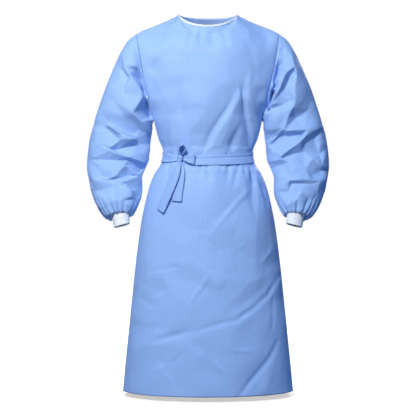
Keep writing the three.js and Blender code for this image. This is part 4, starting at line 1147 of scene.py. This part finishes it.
belt_band = belt()
knot_wrap = knot()
loop_up = band("loop_up", LOOP_UP, 60, 81)
loop_side = band("loop_side", LOOP_SIDE, 60, 82)
end_long = band("end_long", END_LONG, 70, 83)
end_short = band("end_short", END_SHORT, 60, 84)


def tab():
    """The tab that closes the neck, over the free edge of the outer back panel."""
    across, drop = np.meshgrid(np.linspace(0.01, 0.34, 40), np.linspace(16, 42, 9))
    top_drop = top_edge(across, False)[1]
    level = (UNDERARM["drop"] - drop) / (UNDERARM["drop"] - top_drop)
    base, facing = body_point(across, level, False), body_facing(across, level, False)
    lift = lift_past_overlap(across, level, 0.36)[..., None]
    return wall("neck_closing_tab", base + facing * (lift + 2), base + facing * (lift + 0.8))


closing_tab = tab()

# What each piece stands for, what it is made of, and its cloth laid flat: width and length in metres, and the
# cut's area in square metres where it isn't a plain oblong.
PIECES = [
    (front_panel, "front", "nonwoven", gown_cloth, (0.7, 1.22), 0.66, "hung"),
    (back_panel_left, "back_left", "nonwoven", gown_cloth, (0.45, 1.22), 0.43, "hung"),
    (back_panel_right, "back_right", "nonwoven", gown_cloth, (0.47, 1.22), 0.45, "hung"),
    (sleeve_r, "sleeve_right", "nonwoven", gown_cloth, (0.54, 0.66), 0.26, "gathered"),
    (sleeve_l, "sleeve_left", "nonwoven", gown_cloth, (0.54, 0.66), 0.26, "gathered"),
    (cuff_r, "cuff_right", "knit", cuff_knit, (0.17, 0.05), None, "stretched"),
    (cuff_l, "cuff_left", "knit", cuff_knit, (0.17, 0.05), None, "stretched"),
    (neck_tape_piece, "neck_binding", "tape", neck_tape, (0.013, 0.62), 0.006, "folded"),
    (closing_tab, "neck_tab", "strap", belt_cloth, (0.03, 0.08), None, "laid"),
    (belt_band, "waist_belt", "strap", belt_cloth, (0.032, 0.8), None, "gathered"),
    (loop_up, "bow_loop_up", "strap", belt_cloth, (0.032, 0.09), None, "folded"),
    (loop_side, "bow_loop_side", "strap", belt_cloth, (0.032, 0.07), None, "folded"),
    (end_long, "tie_end_long", "strap", belt_cloth, (0.032, 0.175), None, "hung"),
    (end_short, "tie_end_short", "strap", belt_cloth, (0.032, 0.13), None, "hung"),
]
for piece, node_name, slot, material, flat, area, held in PIECES:
    piece.data.materials.append(material)
    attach(piece, "root")
    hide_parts(node_name)
knot_wrap.data.materials.append(belt_cloth)
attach(knot_wrap, "root")
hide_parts("belt_knot")

# Camera, floor and light, in metres.
scene = bpy.context.scene
camera = bpy.data.objects.new("camera", bpy.data.cameras.new("camera"))
camera.location = (0, -3.8, -0.6176)
camera.rotation_euler = (QUARTER, 0, 0)
camera.data.sensor_width = 36
camera.data.lens = 102.8
scene.collection.objects.link(camera)
scene.camera = camera


def lit_choice(tree, output, unseen, seen):
    """Shows one shader to the camera and another to all other rays."""
    light_path = add_node(tree, "ShaderNodeLightPath")
    links = {0: light_path.outputs["Is Camera Ray"], 1: unseen.outputs[0], 2: seen.outputs[0]}
    choice = add_node(tree, "ShaderNodeMixShader", links=links)
    add_node(tree, output, links={"Surface": choice.outputs[0]})


def white_paper():
    """A sweep of white paper that glows to the camera. Its glow is dimmer in an oval round the hem, which
    paints the shadow right under the hem, and past white away from it. Other rays see a dark matt paper."""
    material, tree = new_tree("white paper floor")
    matt = add_node(tree, "ShaderNodeBsdfDiffuse", {"Color": (0.1, 0.15, 0.22, 1)})
    place = add_node(tree, "ShaderNodeTexCoord").outputs["Object"]
    # The glow is weakest in an oval round the hem and rises to full beyond it: painted shadow under the hem.
    flattened = {"operation": "MULTIPLY", 1: (1.1, 1.5, 0)}
    oval = add_node(tree, "ShaderNodeVectorMath", flattened, {0: place})
    away = add_node(tree, "ShaderNodeVectorMath", {"operation": "LENGTH"}, {0: oval.outputs[0]})
    rising = {1: 0.3, 2: 0.42, 3: 0.56, 4: 1.0}
    glow_strength_with_painted_shadow = add_node(tree, "ShaderNodeMapRange", rising, {0: away.outputs["Value"]}).outputs[0]
    painted_shadow_glow = add_node(tree, "ShaderNodeEmission", {"Color": (1, 0.98, 0.95, 1)}, {"Strength": glow_strength_with_painted_shadow})
    bright = add_node(tree, "ShaderNodeBsdfDiffuse", {"Color": (0.9, 0.74, 0.55, 1)})
    both = add_node(tree, "ShaderNodeAddShader", links={0: painted_shadow_glow.outputs[0], 1: bright.outputs[0]})
    lit_choice(tree, "ShaderNodeOutputMaterial", matt, both)
    return material


def studio_room():
    """A white room that lights the cloth with a cool blue, brighter from above."""
    world = bpy.data.worlds.new("studio")
    world.use_nodes = True
    tree = world.node_tree
    tree.nodes.clear()
    way = add_node(tree, "ShaderNodeTexCoord").outputs["Generated"]
    height = add_node(tree, "ShaderNodeSeparateXYZ", links={0: way}).outputs["Z"]
    rising = add_node(tree, "ShaderNodeMapRange", {1: -1.0, 2: 1.0, 3: 0.12, 4: 0.58}, {0: height})
    cool = {"Color": (0.2, 0.46, 1, 1)}
    room = add_node(tree, "ShaderNodeBackground", cool, {"Strength": rising.outputs[0]})
    white = add_node(tree, "ShaderNodeBackground", {"Color": (1, 1, 1, 1), "Strength": 1.0})
    lit_choice(tree, "ShaderNodeOutputWorld", room, white)
    return world


bpy.ops.object.select_all(action="DESELECT")
bpy.ops.mesh.primitive_plane_add(size=60, location=(0, 0, -1.216))
floor = bpy.context.active_object
floor.name = "floor"
floor.data.materials.append(white_paper())
scene.world = studio_room()


def softbox(name, place, aim, size, power, spread=180):
    """A lit rectangle at a place, turned to its aim."""
    light = bpy.data.objects.new(name, bpy.data.lights.new(name, "AREA"))
    light.data.shape = "RECTANGLE"
    light.data.size, light.data.size_y = size
    light.data.energy = power
    light.data.spread = math.radians(spread)
    light.location = place
    way = np.array(aim, float) - np.array(place, float)
    away = math.hypot(way[0], way[1])
    light.rotation_euler = (math.atan2(away, -way[2]), 0, math.atan2(way[1], way[0]) - QUARTER)
    scene.collection.objects.link(light)


softbox("key, upper left", (-0.72, -1.9, 0.8), (0, 0, -0.35), (0.4, 0.4), 47)
softbox("fill, low front", (-0.4, -2.6, -1.0), (0, 0, -1.2), (0.8, 0.3), 1.1, spread=70)
softbox("back, upper right", (1.0, 2.3, 0.7), (0, 0, -0.5), (0.9, 0.9), 42)
scene.view_settings.view_transform = "Standard"
